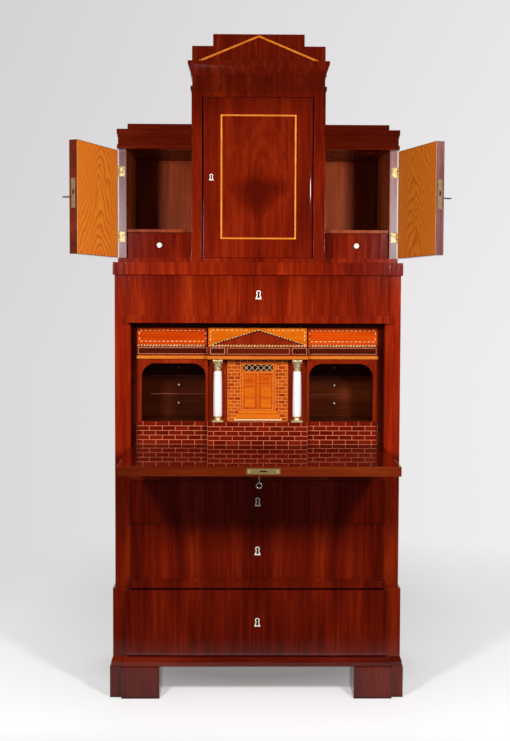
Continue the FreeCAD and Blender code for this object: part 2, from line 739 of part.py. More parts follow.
def small_drawer(label, x, y, z, panel, wall, extras):
    """A little drawer in one node: front, sides, back, bottom and anything added to it."""
    front_y = (y[0], f"{y[0]} + {panel}")
    body_y = (front_y[1], y[1])
    boards = [
        board(f"{label}_panel", x, front_y, z),
        board(f"{label}_low_side", (x[0], f"{x[0]} + {wall}"), body_y, z),
        board(f"{label}_high_side", (f"{x[1]} - {wall}", x[1]), body_y, z),
        board(f"{label}_back", (f"{x[0]} + {wall}", f"{x[1]} - {wall}"), (f"{y[1]} - {wall}", y[1]), z),
        board(f"{label}_bottom", (f"{x[0]} + {wall}", f"{x[1]} - {wall}"), (body_y[0], f"{y[1]} - {wall}"),
              (z[0], f"{z[0]} + {wall}")),
    ]
    node(label, boards + extras)


def knob(name, centre, radius, out, head, neck):
    """A turned knob on a short neck, standing out towards the front."""
    x, y, z = centre
    button = rod(f"{name}_head", "y", (x, f"{y} - {out}", z), head, radius)
    stalk = rod(f"{name}_neck", "y", (x, f"{y} - {out}", z), out, neck)
    return joined(name, [button, stalk])


def build_gallery_drawers():
    """The three drawers of the entablature and the three in each niche."""
    z = ("frieze_low", "gallery_top - front_gap")
    half = "portico_half - nest_divider / 2 - front_gap"
    length = ("portico_front", "gallery_drawer_rear")
    small_drawer("gallery_drawer_centre", wide(half), length, z, "gallery_panel", "gallery_drawer_wall", [])
    for side, word in BOTH_SIDES:
        x = span(side, "portico_half + nest_divider / 2 + front_gap", "facade_half - front_gap")
        small_drawer(f"gallery_drawer_{word}", x, ("gallery_front", length[1]), z, "gallery_panel",
                     "gallery_drawer_wall", [])
        nest_x = span(side, "nest_inner + nest_gap", "nest_outer - nest_gap")
        for tier, tier_word in ((0, "low"), (1, "middle"), (2, "top")):
            low = f"nest_low + {tier} * nest_pitch"
            high = f"nest_low + {tier + 1} * nest_pitch - nest_divider - nest_gap"
            label = f"niche_drawer_{word}_{tier_word}"
            pull = knob(f"{label}_knob", (off(side, "nest_middle"), "nest_front", f"({low} + {high}) / 2"),
                        "nest_knob_radius", "nest_knob_out", "nest_knob_head", "nest_knob_radius / 2")
            small_drawer(label, nest_x, ("nest_front", "nest_drawer_rear"), (low, high),
                         "gallery_drawer_wall", "gallery_drawer_wall", [pull])


def build_columns():
    """A pair of columns: tapered shafts with turned capitals and bases."""
    shafts, capitals, bases = [], [], []
    for side, word in BOTH_SIDES:
        x = off(side, "column_offset")
        y = "column_depth"
        sides_x = span(side, "column_offset - column_plinth / 2", "column_offset + column_plinth / 2")
        sides_y = ("column_depth - column_plinth / 2", "column_depth + column_plinth / 2")
        foot = "niche_floor + column_plinth_height"
        shaft_low = "niche_floor + column_plinth_height + column_base_height"
        shaft_high = "entablature_low - column_capital_height"
        bases.append(joined(f"column_base_{word}", [
            board(f"column_plinth_{word}", sides_x, sides_y, ("niche_floor", foot)),
            cone(f"column_torus_{word}", (x, y, foot), "column_base_height", "column_base_radius",
                 "column_foot_radius"),
        ]))
        shafts.append(cone(f"column_shaft_{word}", (x, y, shaft_low), f"{shaft_high} - ({shaft_low})",
                           "column_foot_radius", "column_head_radius"))
        capitals.append(joined(f"column_capital_{word}", [
            cone(f"column_bell_{word}", (x, y, shaft_high), "column_capital_height - column_abacus_height",
                 "column_head_radius", "column_base_radius"),
            board(f"column_abacus_{word}", sides_x, sides_y,
                  ("entablature_low - column_abacus_height", "entablature_low")),
        ]))
    node("column_shafts", shafts)
    node("column_capitals", capitals)
    node("column_bases", bases)


def build_tower():
    """The tall middle of the upper cabinet, with its stepped top."""
    rear = "inner_back"
    pivot = ("tower_door_half - door_radius", "door_radius")
    bore_radius = "door_pivot_radius + pivot_gap"
    bore_length = "door_pivot_length + front_gap"
    base = joined("cabinet_base_blank", [
        board("cabinet_base_slab", wide("wing_half + cabinet_base_proud"),
              ("wing_setback - cabinet_base_lip", "case_depth"), ("cornice_top", "cabinet_low")),
        board("cabinet_base_tower", wide("tower_half"), ("0", "wing_setback"), ("cornice_top", "cabinet_low")),
        board("cabinet_base_block_left", span(-1, "tower_door_half", "tower_half + tower_bead_proud"),
              ("-tower_bead_proud", "wing_setback"), ("cornice_top", "cabinet_low")),
        board("cabinet_base_block_right", span(1, "tower_door_half", "tower_half + tower_bead_proud"),
              ("-tower_bead_proud", "wing_setback"), ("cornice_top", "cabinet_low")),
    ])
    node("cabinet_base", [hollowed("cabinet_base_body", base, [
        rod("tower_low_bore", "z", (*pivot, f"cabinet_low - ({bore_length})"), bore_length, bore_radius)])])

    lock_edge = "tower_door_half + tower_lock_gap"
    head = board("tower_head_board", (off(-1, lock_edge), "tower_door_half"), ("0", rear),
                 ("tower_door_top", "tower_case_top"))
    boards = [
        hollowed("tower_head", head, [
            rod("tower_top_bore", "z", (*pivot, "tower_door_top"), bore_length, bore_radius)]),
        board("tower_back", wide("tower_half"), (rear, "case_depth"), ("cabinet_low", "tower_case_top")),
    ]
    for side, word in BOTH_SIDES:
        edge = "tower_door_half" if side > 0 else lock_edge
        post = board(f"tower_post_{word}", span(side, edge, "tower_half"), ("0", "tower_post_thick"),
                     ("cabinet_low", "tower_case_top"))
        wall = board(f"tower_wall_{word}", span(side, "tower_half - tower_wall", "tower_half"),
                     ("tower_post_thick", rear), ("cabinet_low", "tower_case_top"))
        filler = board(f"tower_head_end_{word}", span(side, edge, "tower_half - tower_wall"),
                       ("tower_post_thick", rear), ("tower_door_top", "tower_case_top"))
        boards += [post, wall, filler]
    node("tower_case", boards)

    neck_low = "tower_case_top + tower_bead_height"
    step_low = f"{neck_low} + tower_neck_height"
    cove_low = f"{step_low} + tower_step_height"
    fillet_low = f"{cove_low} + tower_cove_height"
    fillet_top = f"{fillet_low} + tower_fillet_height"
    step_half = "tower_half + tower_step_proud"
    crown_half = "tower_half + tower_cove_proud"
    node("tower_cornice", [joined("tower_cornice_joined", [
        board("tower_bead", wide("tower_half + tower_bead_proud"), ("-tower_bead_proud", "case_depth"),
              ("tower_case_top", neck_low)),
        board("tower_neck", wide("tower_half - tower_neck_set_in"), ("tower_neck_set_in", "case_depth"),
              (neck_low, step_low)),
        board("tower_step", wide(step_half), ("-tower_step_proud", "case_depth"), (step_low, cove_low)),
        sloped("tower_cove", step_half, crown_half, "tower_step_proud", "tower_cove_proud", "case_depth",
               (cove_low, fillet_low)),
        board("tower_fillet", wide(crown_half), ("-tower_cove_proud", "case_depth"), (fillet_low, fillet_top)),
    ])])
    block_top = f"{fillet_top} + tower_block_height"
    node("tower_pediment", [joined("tower_pediment_joined", [
        board("tower_block", wide("tower_half - tower_block_set_in"), ("0", "case_depth"),
              (fillet_top, block_top)),
        board("tower_crest", wide("tower_crest_half"), ("0", "case_depth"),
              (block_top, f"{block_top} + tower_crest_height")),
    ])])


def build_tower_door():
    """The tower door on top and bottom pivots at its right edge."""
    low = "cabinet_low + front_gap"
    high = "tower_door_top - front_gap"
    pivot = ("tower_door_half - door_radius", "door_radius")
    edge_radius = "door_radius - door_gap"
    depth = ("door_gap", "tower_door_thick - door_gap")
    leaf = board("tower_leaf", ("door_gap - tower_door_half", pivot[0]), depth, (low, high))
    edge = rod("tower_leaf_edge", "z", (*pivot, low), f"{high} - ({low})", edge_radius)
    plate_x = (f"{pivot[0]} - door_plate_length", f"{pivot[0]} + door_pivot_radius")
    plate_y = (f"{pivot[1]} - door_pivot_radius", f"{pivot[1]} + door_pivot_radius")
    plate_spans = (("low", (low, f"{low} + door_plate_thick")), ("top", (f"{high} - door_plate_thick", high)))
    mortises = [board(f"tower_mortise_{end}", plate_x, plate_y, z) for end, z in plate_spans]
    plates = [board(f"tower_plate_{end}", plate_x, plate_y, z) for end, z in plate_spans]
    reach = "front_gap + door_pivot_length"
    pins = [
        rod("tower_pin_low", "z", (*pivot, f"{low} - ({reach})"), f"{reach} + door_plate_thick",
            "door_pivot_radius"),
        rod("tower_pin_top", "z", (*pivot, f"{high} - door_plate_thick"), f"{reach} + door_plate_thick",
            "door_pivot_radius"),
    ]
    node("tower_door", [hollowed("tower_door_body", joined("tower_door_blank", [leaf, edge]), mortises)])
    node("tower_door_pivots", [joined(f"tower_pivot_{index}", [plate, pin])
                               for index, (plate, pin) in enumerate(zip(plates, pins))])


def hinge_levels():
    """The middles of the two hinges of a wing door."""
    return (("low", "cabinet_low + hinge_inset"), ("top", "wing_head - hinge_inset"))


def build_wings():
    """The low cupboards at both sides of the tower, with their heads and fixed hinge leaves."""
    heads, leaves = [], []
    rear = "inner_back"
    for side, word in BOTH_SIDES:
        niche = span(side, "tower_half", "wing_inner")
        flank = board(f"wing_side_{word}", span(side, "wing_inner", "wing_half"), ("wing_setback", "case_depth"),
                      ("cabinet_low", "wing_slab_low"))
        axis_x = off(side, "wing_half + hinge_offset")
        leaf_x = span(side, "wing_half - hinge_leaf_width", "wing_half + hinge_offset")
        leaf_y = ("wing_setback", "wing_setback + hinge_leaf_thick")
        mortises = []
        for end, level in hinge_levels():
            low = f"{level} - hinge_length / 2"
            high = f"{level} + hinge_length / 2"
            third = "hinge_length / 3"
            mortises.append(board(f"wing_leaf_mortise_{word}_{end}",
                                  span(side, "wing_half - hinge_leaf_width", "wing_half"), leaf_y, (low, high)))
            axis_y = "wing_setback - wing_shut_gap / 2"
            clear = "hinge_radius + hinge_split_gap"
            mortises.append(rod(f"wing_barrel_relief_{word}_{end}", "z",
                                (axis_x, axis_y, f"{low} - hinge_split_gap"),
                                "hinge_length + 2 * hinge_split_gap", clear))
            barrel = rod(f"fixed_barrel_{word}_{end}", "z", (axis_x, axis_y, low), "hinge_length", "hinge_radius")
            plate = board(f"fixed_leaf_{word}_{end}", leaf_x, leaf_y, (low, high))
            notch = rod(f"fixed_notch_{word}_{end}", "z",
                        (axis_x, axis_y, f"{low} + {third} - hinge_split_gap"),
                        f"{third} + 2 * hinge_split_gap", clear)
            pin = rod(f"fixed_pin_{word}_{end}", "z", (axis_x, axis_y, low), "hinge_length", "hinge_pin_radius")
            blank = joined(f"fixed_blank_{word}_{end}", [barrel, plate])
            body = hollowed(f"fixed_body_{word}_{end}", blank, [notch])
            leaves.append(joined(f"fixed_hinge_{word}_{end}", [body, pin]))
        node(f"wing_case_{word}", [
            hollowed(f"wing_flank_{word}", flank, mortises),
            board(f"wing_top_{word}", niche, ("wing_setback", rear), ("wing_ceiling", "wing_slab_low")),
            board(f"wing_shelf_{word}", niche, ("wing_setback + wing_shelf_setback", rear),
                  ("wing_shelf_low", "wing_shelf_low + wing_shelf_thick")),
            board(f"wing_back_{word}", niche, (rear, "case_depth"), ("cabinet_low", "wing_slab_low")),
        ])
        bead_top = "wing_head + wing_bead_height"
        whole = span(side, "tower_half", "wing_half")
        stepped = span(side, "tower_half", "wing_half + wing_lap / 2")
        lapped = span(side, "tower_half", "wing_half + wing_lap")
        heads.append(joined(f"wing_head_{word}", [
            board(f"wing_bead_{word}", lapped, ("-wing_bead_forward", "wing_setback"), ("wing_head", bead_top)),
            board(f"wing_panel_{word}", whole, ("0", "wing_setback"), (bead_top, "wing_step_low")),
            board(f"wing_step_{word}", stepped, ("-wing_step_forward", "wing_setback"),
                  ("wing_step_low", "wing_slab_low")),
            board(f"wing_slab_{word}", lapped, ("-wing_slab_forward", "case_depth"),
                  ("wing_slab_low", "wing_slab_top")),
            board(f"wing_block_{word}", span(side, "tower_half", "wing_half - wing_block_set_in"),
                  ("0", "case_depth"), ("wing_slab_top", "wing_slab_top + wing_block_height")),
        ]))
        drawer_x = span(side, "tower_half + front_gap", "wing_inner - front_gap")
        drawer_z = ("cabinet_low", "wing_shelf_low - front_gap")
        small_drawer(f"wing_drawer_{word}", drawer_x,
                     ("wing_drawer_front", "wing_drawer_rear"), drawer_z,
                     "wing_board", "box_wall", [])
        middle = off(side, "(tower_half + wing_inner) / 2")
        node(f"wing_knob_{word}", [knob(f"wing_pull_{word}",
                                        (middle, "wing_drawer_front", "(cabinet_low + wing_shelf_low) / 2"),
                                        "wing_knob_radius", "wing_knob_out", "wing_knob_head", "wing_knob_neck")])
    node("wing_cornices", heads)
    node("wing_hinge_leaves", leaves)


def swing(piece, side, word):
    """Hang a piece built around its hinge axis on the case, at the open angle of its side."""
    turn = FreeCAD.Rotation(FreeCAD.Vector(0, 0, 1), side * ANGLES[f"{word}_open_angle"])
    piece.Placement = FreeCAD.Placement(FreeCAD.Vector(), turn)
    place(piece, (off(side, "wing_half + hinge_offset"), "wing_setback - wing_shut_gap / 2", "0"))
    return piece


def build_wing_doors():
    """The two wing doors, built shut around their hinge axes and then swung open."""
    for side, word in BOTH_SIDES:
        low = "cabinet_low + front_gap"
        high = "wing_head - front_gap"
        inner_y = "-(wing_shut_gap / 2)"
        slab = board(f"wing_slab_leaf_{word}", span(-side, "hinge_offset", "wing_reach"),
                     ("-wing_face", inner_y), (low, high))
        leaf_x = span(-side, "hinge_offset", "hinge_offset + hinge_leaf_thick")
        leaf_y = (f"{inner_y} - hinge_leaf_width", inner_y)
        clear = "hinge_radius + hinge_split_gap"
        tools, fittings = [], []
        for end, level in hinge_levels():
            bottom = f"{level} - hinge_length / 2"
            top = f"{level} + hinge_length / 2"
            third = "hinge_length / 3"
            tools += [
                board(f"door_leaf_mortise_{word}_{end}", leaf_x, leaf_y, (bottom, top)),
                rod(f"door_barrel_relief_{word}_{end}", "z", ("0", "0", f"{bottom} - hinge_split_gap"),
                    "hinge_length + 2 * hinge_split_gap", clear),
            ]
            barrel = rod(f"door_barrel_{word}_{end}", "z", ("0", "0", f"{bottom} + {third}"), third,
                         "hinge_radius")
            plate = board(f"door_leaf_{word}_{end}", leaf_x, leaf_y, (bottom, top))
            gaps = [
                rod(f"door_gap_low_{word}_{end}", "z", ("0", "0", bottom), third, clear),
                rod(f"door_gap_top_{word}_{end}", "z", ("0", "0", f"{top} - {third}"), third, clear),
                rod(f"door_pin_bore_{word}_{end}", "z", ("0", "0", bottom), "hinge_length",
                    "hinge_pin_radius + pivot_gap"),
            ]
            blank = joined(f"door_hinge_blank_{word}_{end}", [barrel, plate])
            fittings.append(hollowed(f"door_hinge_{word}_{end}", blank, gaps))
        lock_z = ("cabinet_low + wing_lock_rise - wing_lock_height / 2",
                  "cabinet_low + wing_lock_rise + wing_lock_height / 2")
        middle_y = "-(wing_face + wing_shut_gap / 2) / 2"
        lock_y = (f"{middle_y} - wing_lock_width / 2", f"{middle_y} + wing_lock_width / 2")
        bed = span(-side, "wing_reach - lock_plate_thick + lock_plate_proud", "wing_reach")
        tools.append(board(f"wing_lock_mortise_{word}", bed, lock_y, lock_z))
        fittings.append(board(f"wing_lock_plate_{word}",
                              span(-side, "wing_reach - lock_plate_thick + lock_plate_proud",
                                   "wing_reach + lock_plate_proud"), lock_y, lock_z))
        key_x = off(-side, "wing_reach - wing_key_inset")
        key_z = "cabinet_low + wing_key_rise"
        tools.append(rod(f"wing_key_bore_{word}", "y", (key_x, "-wing_face", key_z), "key_stem_in + front_gap",
                         "key_stem_radius + key_gap"))
        swing(node(f"wing_door_{word}", [hollowed(f"wing_door_body_{word}", slab, tools)]), side, word)
        swing(node(f"wing_fittings_{word}", fittings), side, word)
        stem = rod(f"wing_key_stem_{word}", "y", (key_x, "-wing_face - key_stem_out", key_z),
                   "key_stem_out + key_stem_in", "key_stem_radius")
        bow = ring(f"wing_key_bow_{word}", "z", (key_x, "-wing_face - key_stem_out - key_bow_radius", key_z),
                   "key_bow_radius", "key_bow_wire")
        swing(node(f"wing_key_{word}", [joined(f"wing_key_joined_{word}", [stem, bow])]), side, word)


def write_parts():
    """Check every object and write each sub-part to its own file."""
    doc.recompute()
    for piece in doc.Objects:
        if "Invalid" in piece.State or "Error" in piece.State:
            raise RuntimeError(f"{piece.Name} did not build: {piece.State}")
    os.makedirs("parts", exist_ok=True)
    for piece in nodes:
        shape = piece.Shape
        if shape.isNull() or not shape.isValid():
            raise RuntimeError(f"{piece.Label} has no valid shape")
        shape.exportStep(f"parts/{piece.Label}.step")
    print(len(nodes), "nodes written")


fill_sheet()
build_feet()
build_plinth()
build_case()
build_shelves()
build_cornice()
build_case_drawers()
build_flap()
build_gallery_case()
build_gallery_front()
build_gallery_door()
build_gallery_drawers()
build_columns()
build_tower()
build_tower_door()
build_wings()
build_wing_doors()
write_parts()
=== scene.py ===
import math
import random
import bpy
import bmesh
from mathutils import Matrix, Vector


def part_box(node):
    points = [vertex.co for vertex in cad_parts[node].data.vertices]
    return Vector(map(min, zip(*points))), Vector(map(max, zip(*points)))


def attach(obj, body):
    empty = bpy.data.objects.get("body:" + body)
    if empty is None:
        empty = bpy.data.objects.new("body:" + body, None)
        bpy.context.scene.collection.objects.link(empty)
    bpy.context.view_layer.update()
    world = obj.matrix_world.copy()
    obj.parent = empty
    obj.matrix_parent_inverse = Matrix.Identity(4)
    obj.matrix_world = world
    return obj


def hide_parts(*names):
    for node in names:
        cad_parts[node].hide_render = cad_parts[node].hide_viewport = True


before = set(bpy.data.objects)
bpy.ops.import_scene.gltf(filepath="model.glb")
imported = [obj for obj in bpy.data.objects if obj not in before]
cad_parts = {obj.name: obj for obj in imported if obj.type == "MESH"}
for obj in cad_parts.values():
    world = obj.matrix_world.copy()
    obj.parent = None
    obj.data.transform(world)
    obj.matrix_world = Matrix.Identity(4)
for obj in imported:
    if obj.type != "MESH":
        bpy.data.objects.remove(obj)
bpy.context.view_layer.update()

# Lengths are in millimetres, in the solids' frame; materials, floor, lamps and camera are in metres
MM = 0.001
SIDES = ((-1, "left"), (1, "right"))
TIERS = ("low", "middle", "top")
SMOOTH_BELOW = 35
chance = random.Random(7)


def box_mm(node):
    """Lowest and highest corner of a solid at rest."""
    low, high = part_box(node)
    return Vector(low) / MM, Vector(high) / MM


def front_of(node):
    """How far to the front a solid reaches at rest."""
    return box_mm(node)[0].y


def span(side, one, two):
    """Two distances from the middle as a range on one side of it."""
    return sorted((side * one, side * two))


# Placement of flat work: u and v lie in the surface and w stands out of it

def facing_front(x, y, z):
    """u to the right, v up, w towards the front."""
    return Matrix(((1, 0, 0, x), (0, 0, -1, y), (0, 1, 0, z), (0, 0, 0, 1)))


def facing_back(x, y, z):
    """u to the left as seen from the front, v up, w towards the back."""
    return Matrix(((-1, 0, 0, x), (0, 0, 1, y), (0, 1, 0, z), (0, 0, 0, 1)))


def facing_side(side, x, y, z):
    """v up, w out to one side."""
    return Matrix(((0, 0, side, x), (side, 0, 0, y), (0, 1, 0, z), (0, 0, 0, 1)))


def facing_up(x, y, z):
    """u to the right, v to the back, w up."""
    return Matrix.Translation((x, y, z))


def facing_down(x, y, z):
    """u to the right, v to the front, w down."""
    return Matrix(((1, 0, 0, x), (0, -1, 0, y), (0, 0, -1, z), (0, 0, 0, 1)))


def arc(centre, radius, start, end, steps):
    """Points of an arc in u and v, with angles in degrees."""
    points = []
    for step in range(steps + 1):
        angle = math.radians(start + (end - start) * step / steps)
        points.append((centre[0] + radius * math.cos(angle), centre[1] + radius * math.sin(angle)))
    return points


def circle(radius, steps):
    """Points around a circle in u and v."""
    return arc((0, 0), radius, 0, 360, steps)[:-1]


def rectangle(u, v, inset=0):
    """The corners of a rectangle, drawn in by an inset."""
    return [(u[0] + inset, v[0] + inset), (u[1] - inset, v[0] + inset),
            (u[1] - inset, v[1] - inset), (u[0] + inset, v[1] - inset)]


def ease(piece, width):
    """Take the sharp edge off a piece."""
    rounding = piece.modifiers.new("eased_edges", "BEVEL")
    rounding.width = width * MM
    rounding.segments = 2
    rounding.limit_method = "ANGLE"
    rounding.angle_limit = math.radians(SMOOTH_BELOW)
    rounding.harden_normals = True


class Form:
    """The faces of one piece; a mark picks the material and a tone the shade."""

    def __init__(self):
        self.points = []
        self.tones = []
        self.faces = []
        self.marks = []

    def loft(self, rings, mark=0, place=None, tone=0.5, closed=False):
        """Rings of as many points, joined in order and capped at the ends unless they close up."""
        start, count = len(self.points), len(rings[0])
        points = [Vector(point) for ring in rings for point in ring]
        faces = []
        for row in range(len(rings) if closed else len(rings) - 1):
            one, two = row * count, (row + 1) % len(rings) * count
            for index in range(count):
                after = (index + 1) % count
                faces.append([one + index, one + after, two + after, two + index])
        if not closed:
            faces.append(list(range(count))[::-1])
            faces.append(list(range(len(points) - count, len(points))))
        self.points += [place @ point if place else point for point in points]
        self.tones += [tone] * len(points)
        self.faces += [[start + index for index in face] for face in faces]
        self.marks += [mark] * len(faces)

    def prism(self, outline, low, high, mark=0, place=None, tone=0.5):
        """An outline in u and v raised between two levels of w."""
        self.loft([[(u, v, level) for u, v in outline] for level in (low, high)], mark, place, tone)

    def block(self, u, v, w, mark=0, place=None, tone=0.5):
        """A squared block between two values of u, v and w."""
        self.prism(rectangle(u, v), *w, mark, place, tone)

    def border(self, outer, inner, low, high, mark=0, place=None, tone=0.5):
        """The band between two outlines that have as many points."""
        rings = ((outer, low), (outer, high), (inner, high), (inner, low))
        self.loft([[(u, v, level) for u, v in outline] for outline, level in rings], mark, place, tone, True)

    def turned(self, profile, steps, mark=0, place=None):
        """A profile of (radius, w) pairs turned about the w axis."""
        rings = [[(u, v, level) for u, v in circle(radius, steps)] for radius, level in profile]
        self.loft(rings, mark, place)

    def tube(self, path, radius, steps, closed=False, place=None):
        """A round wire along a path of points."""
        path = [Vector(point) for point in path]
        rings = []
        for index, point in enumerate(path):
            before = path[index - 1] if index or closed else point
            after = path[(index + 1) % len(path)] if index < len(path) - 1 or closed else point
            along = (after - before).normalized()
            helper = Vector((0, 0, 1)) if abs(along.z) < 0.9 else Vector((0, 1, 0))
            across = along.cross(helper).normalized()
            over = along.cross(across)
            rings.append([point + u * across + v * over for u, v in circle(radius, steps)])
        self.loft(rings, place=place, closed=closed)

    def make(self, name, body, slot, materials, bevel=0, replaces=()):
        """Turn the faces into a piece that rides on a body."""
        mesh = bpy.data.meshes.new(name)
        mesh.from_pydata([point * MM for point in self.points], [], self.faces)
        for material in materials:
            mesh.materials.append(material)
        mesh.polygons.foreach_set("material_index", self.marks)
        mesh.polygons.foreach_set("use_smooth", [True] * len(self.faces))
        mesh.attributes.new("tone", "FLOAT", "POINT").data.foreach_set("value", self.tones)
        work = bmesh.new()
        work.from_mesh(mesh)
        bmesh.ops.recalc_face_normals(work, faces=work.faces)
        work.to_mesh(mesh)
        work.free()
        mesh.set_sharp_from_angle(angle=math.radians(SMOOTH_BELOW))
        piece = bpy.data.objects.new(name, mesh)
        bpy.context.scene.collection.objects.link(piece)
        if bevel:
            ease(piece, bevel)
        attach(piece, body)
        if replaces:
            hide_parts(*replaces)


# Procedural materials

class Nodes:
    """Short ways to fill a node tree."""

    def __init__(self, owner, coords="Object"):
        owner.use_nodes = True
        self.tree = owner.node_tree
        self.tree.nodes.clear()
        self.coords = self.node("ShaderNodeTexCoord").outputs[coords]

    def feed(self, socket, value):
        """Link a socket to another one, or set its value."""
        if isinstance(value, bpy.types.NodeSocket):
            self.tree.links.new(value, socket)
        else:
            socket.default_value = value

    def node(self, kind, *values, **named):
        """A node whose inputs are fed by their order or by their names."""
        made = self.tree.nodes.new(kind)
        for socket, value in zip(made.inputs, values):
            self.feed(socket, value)
        for name, value in named.items():
            self.feed(made.inputs[name.replace("_", " ")], value)
        return made

    def mapped(self, scale=(1, 1, 1), location=(0, 0, 0), turn=0, vector=None):
        """Coordinates stretched, turned about the upright axis and moved."""
        moved = self.node("ShaderNodeMapping", Vector=vector or self.coords, Location=location,
                          Rotation=(0, 0, math.radians(turn)), Scale=scale)
        return moved.outputs["Vector"]

    def split(self, vector=None):
        """The X, Y and Z of a vector."""
        return self.node("ShaderNodeSeparateXYZ", vector or self.coords).outputs

    def maths(self, operation, one, two=0.0):
        made = self.node("ShaderNodeMath", one, two)
        made.operation = operation
        return made.outputs["Value"]

    def length(self, vector):
        made = self.node("ShaderNodeVectorMath", vector)
        made.operation = "LENGTH"
        return made.outputs["Value"]

    def spread(self, value, low, high, to_low=0.0, to_high=1.0):
        """Stretch a range of values over another range."""
        return self.node("ShaderNodeMapRange", value, low, high, to_low, to_high).outputs["Result"]

    def mixed(self, share, one, two):
        """One shader into another by a share."""
        return self.node("ShaderNodeMixShader", share, one, two).outputs["Shader"]


class Paint(Nodes):
    """A node material around one Principled shader."""

    def __init__(self, name, roughness, specular, metallic=0.0):
        self.material = bpy.data.materials.new(name)
        super().__init__(self.material)
        self.shader = self.node("ShaderNodeBsdfPrincipled", Roughness=roughness, Specular_IOR_Level=specular,
                                Metallic=metallic)
        self.node("ShaderNodeOutputMaterial", Surface=self.shader.outputs["BSDF"])

    def matched(self):
        """Coordinates mirrored at the middle, as two leaves of veneer are laid side by side."""
        parts = self.split()
        half = self.maths("ABSOLUTE", parts["X"])
        return self.node("ShaderNodeCombineXYZ", half, parts["Y"], parts["Z"]).outputs["Vector"]

    def noise(self, vector, scale, detail, roughness, distortion=0.0):
        made = self.node("ShaderNodeTexNoise", Vector=vector, Scale=scale, Detail=detail,
                         Roughness=roughness, Distortion=distortion)
        return made.outputs["Fac"]

    def total(self, *shares):
        """The sum of (value, weight) pairs."""
        whole = None
        for value, weight in shares:
            part = self.maths("MULTIPLY", value, weight)
            whole = part if whole is None else self.maths("ADD", whole, part)
        return whole

    def ramp(self, value, *stops):
        """Colour stops along a value."""
        made = self.node("ShaderNodeValToRGB", value)
        elements = made.color_ramp.elements
        while len(elements) < len(stops):
            elements.new(0.5)
        for element, (place, colour) in zip(elements, stops):
            element.position = place
            element.color = (*colour, 1)
        return made.outputs["Color"]

    def blend(self, share, one, two, kind="MIX"):
        """One colour into another by a share."""
        made = self.tree.nodes.new("ShaderNodeMix")
        made.data_type = "RGBA"
        made.blend_type = kind
        self.feed(made.inputs[0], share)
        for socket, value in ((made.inputs[6], one), (made.inputs[7], two)):
            self.feed(socket, (*value, 1) if isinstance(value, tuple) else value)
        return made.outputs[2]

    def painted_height_shade(self, colour):
        """Painted shade: deepen a colour by height, darker low down, below the fall front and at the top,
        where less light falls.
        """
        top = PAINTED_HEIGHT_SHADES[-1][0]
        shade = self.ramp(self.spread(self.split()["Z"], 0.0, top),
                          *((height / top, (share,) * 3) for height, share in PAINTED_HEIGHT_SHADES))
        return self.blend(1.0, colour, shade, "MULTIPLY")

    def bump(self, height, strength, distance, rounding=0.0):
        """Relief of the surface, with the edges softened by a radius; both in millimetres."""
        made = self.node("ShaderNodeBump", Height=height, Strength=strength, Distance=distance * MM)
        if rounding:
            edge = self.node("ShaderNodeBevel", Radius=rounding * MM)
            edge.samples = 4
            self.feed(made.inputs["Normal"], edge.outputs["Normal"])
        self.feed(self.shader.inputs["Normal"], made.outputs["Normal"])

    def finish(self, colour, roughness):
        self.feed(self.shader.inputs["Base Color"], colour)
        self.feed(self.shader.inputs["Roughness"], roughness)
        return self.material


# Painted shade by height: heights in metres with the share of the wood's colour there, lower low down, below
# the fall front and at the top where less light falls; the feet are darkest in their lowest few millimetres
PAINTED_HEIGHT_SHADES = ((0.0, 0.04), (0.006, 0.05), (0.009, 0.35), (0.1, 0.37), (0.13, 0.48), (0.36, 0.5), (0.56, 0.53),
       (0.62, 0.52), (0.79, 0.52), (0.82, 0.98), (1.2, 1.0), (1.32, 0.95), (1.4, 0.72), (1.46, 0.66),
       (1.6, 0.54), (1.9, 0.49), (1.99, 0.28), (2.03, 0.3), (2.07, 0.36), (2.2, 0.36))
BROAD = {"x": (0.15, 1, 1), "y": (1, 0.15, 1), "z": (1, 1, 0.15)}
ALONG = {"x": (0.06, 1, 1), "y": (1, 0.06, 1), "z": (1, 1, 0.06)}
LONG = {"x": (0.012, 1, 1), "y": (1, 0.012, 1), "z": (1, 1, 0.012)}


def timber(name, grain, dark, middle, light, gloss=0.09, specular=0.3, seed=0.0, painted_height_shade=False, matched=False):
    """Polished wood: broad figure, streaks and pores along one axis."""
    paint = Paint(name, gloss, specular)
    place = (seed, seed * 0.7, seed * 1.3)
    source = paint.matched() if matched else paint.coords
    broad = paint.noise(paint.mapped(BROAD[grain], place, vector=source), 7.0, 3.0, 0.5, 0.9)
    streaks = paint.noise(paint.mapped(ALONG[grain], place, vector=source), 80.0, 4.0, 0.65, 0.3)
    fine = paint.noise(paint.mapped(LONG[grain], place, vector=source), 260.0, 3.0, 0.6)
    mixed = paint.total((broad, 0.5), (streaks, 0.34), (fine, 0.16))
    colour = paint.ramp(mixed, (0.38, dark), (0.5, middle), (0.62, light))
    paint.bump(fine, 0.08, 0.2, 1.6)
    return paint.finish(paint.painted_height_shade(colour) if painted_height_shade else colour,
                        paint.spread(streaks, 0.2, 0.8, gloss * 0.75, gloss * 1.4))


MAHOGANY = ((0.145, 0.0062, 0.0009), (0.28, 0.014, 0.0018), (0.47, 0.036, 0.0042))
FRIEZE = ((0.115, 0.005, 0.0007), (0.215, 0.0108, 0.0012), (0.36, 0.03, 0.0032))
DIM = ((0.04, 0.0022, 0.0004), (0.068, 0.0044, 0.0008), (0.105, 0.0085, 0.0014))
DEEP = ((0.03, 0.002, 0.0006), (0.07, 0.005, 0.0012), (0.12, 0.011, 0.0025))
FLAP = ((0.037, 0.0016, 0.0003), (0.088, 0.0042, 0.0008), (0.146, 0.009, 0.0015))
ARCHITRAVE = ((0.08, 0.004, 0.0007), (0.145, 0.0085, 0.0013), (0.225, 0.017, 0.0025))
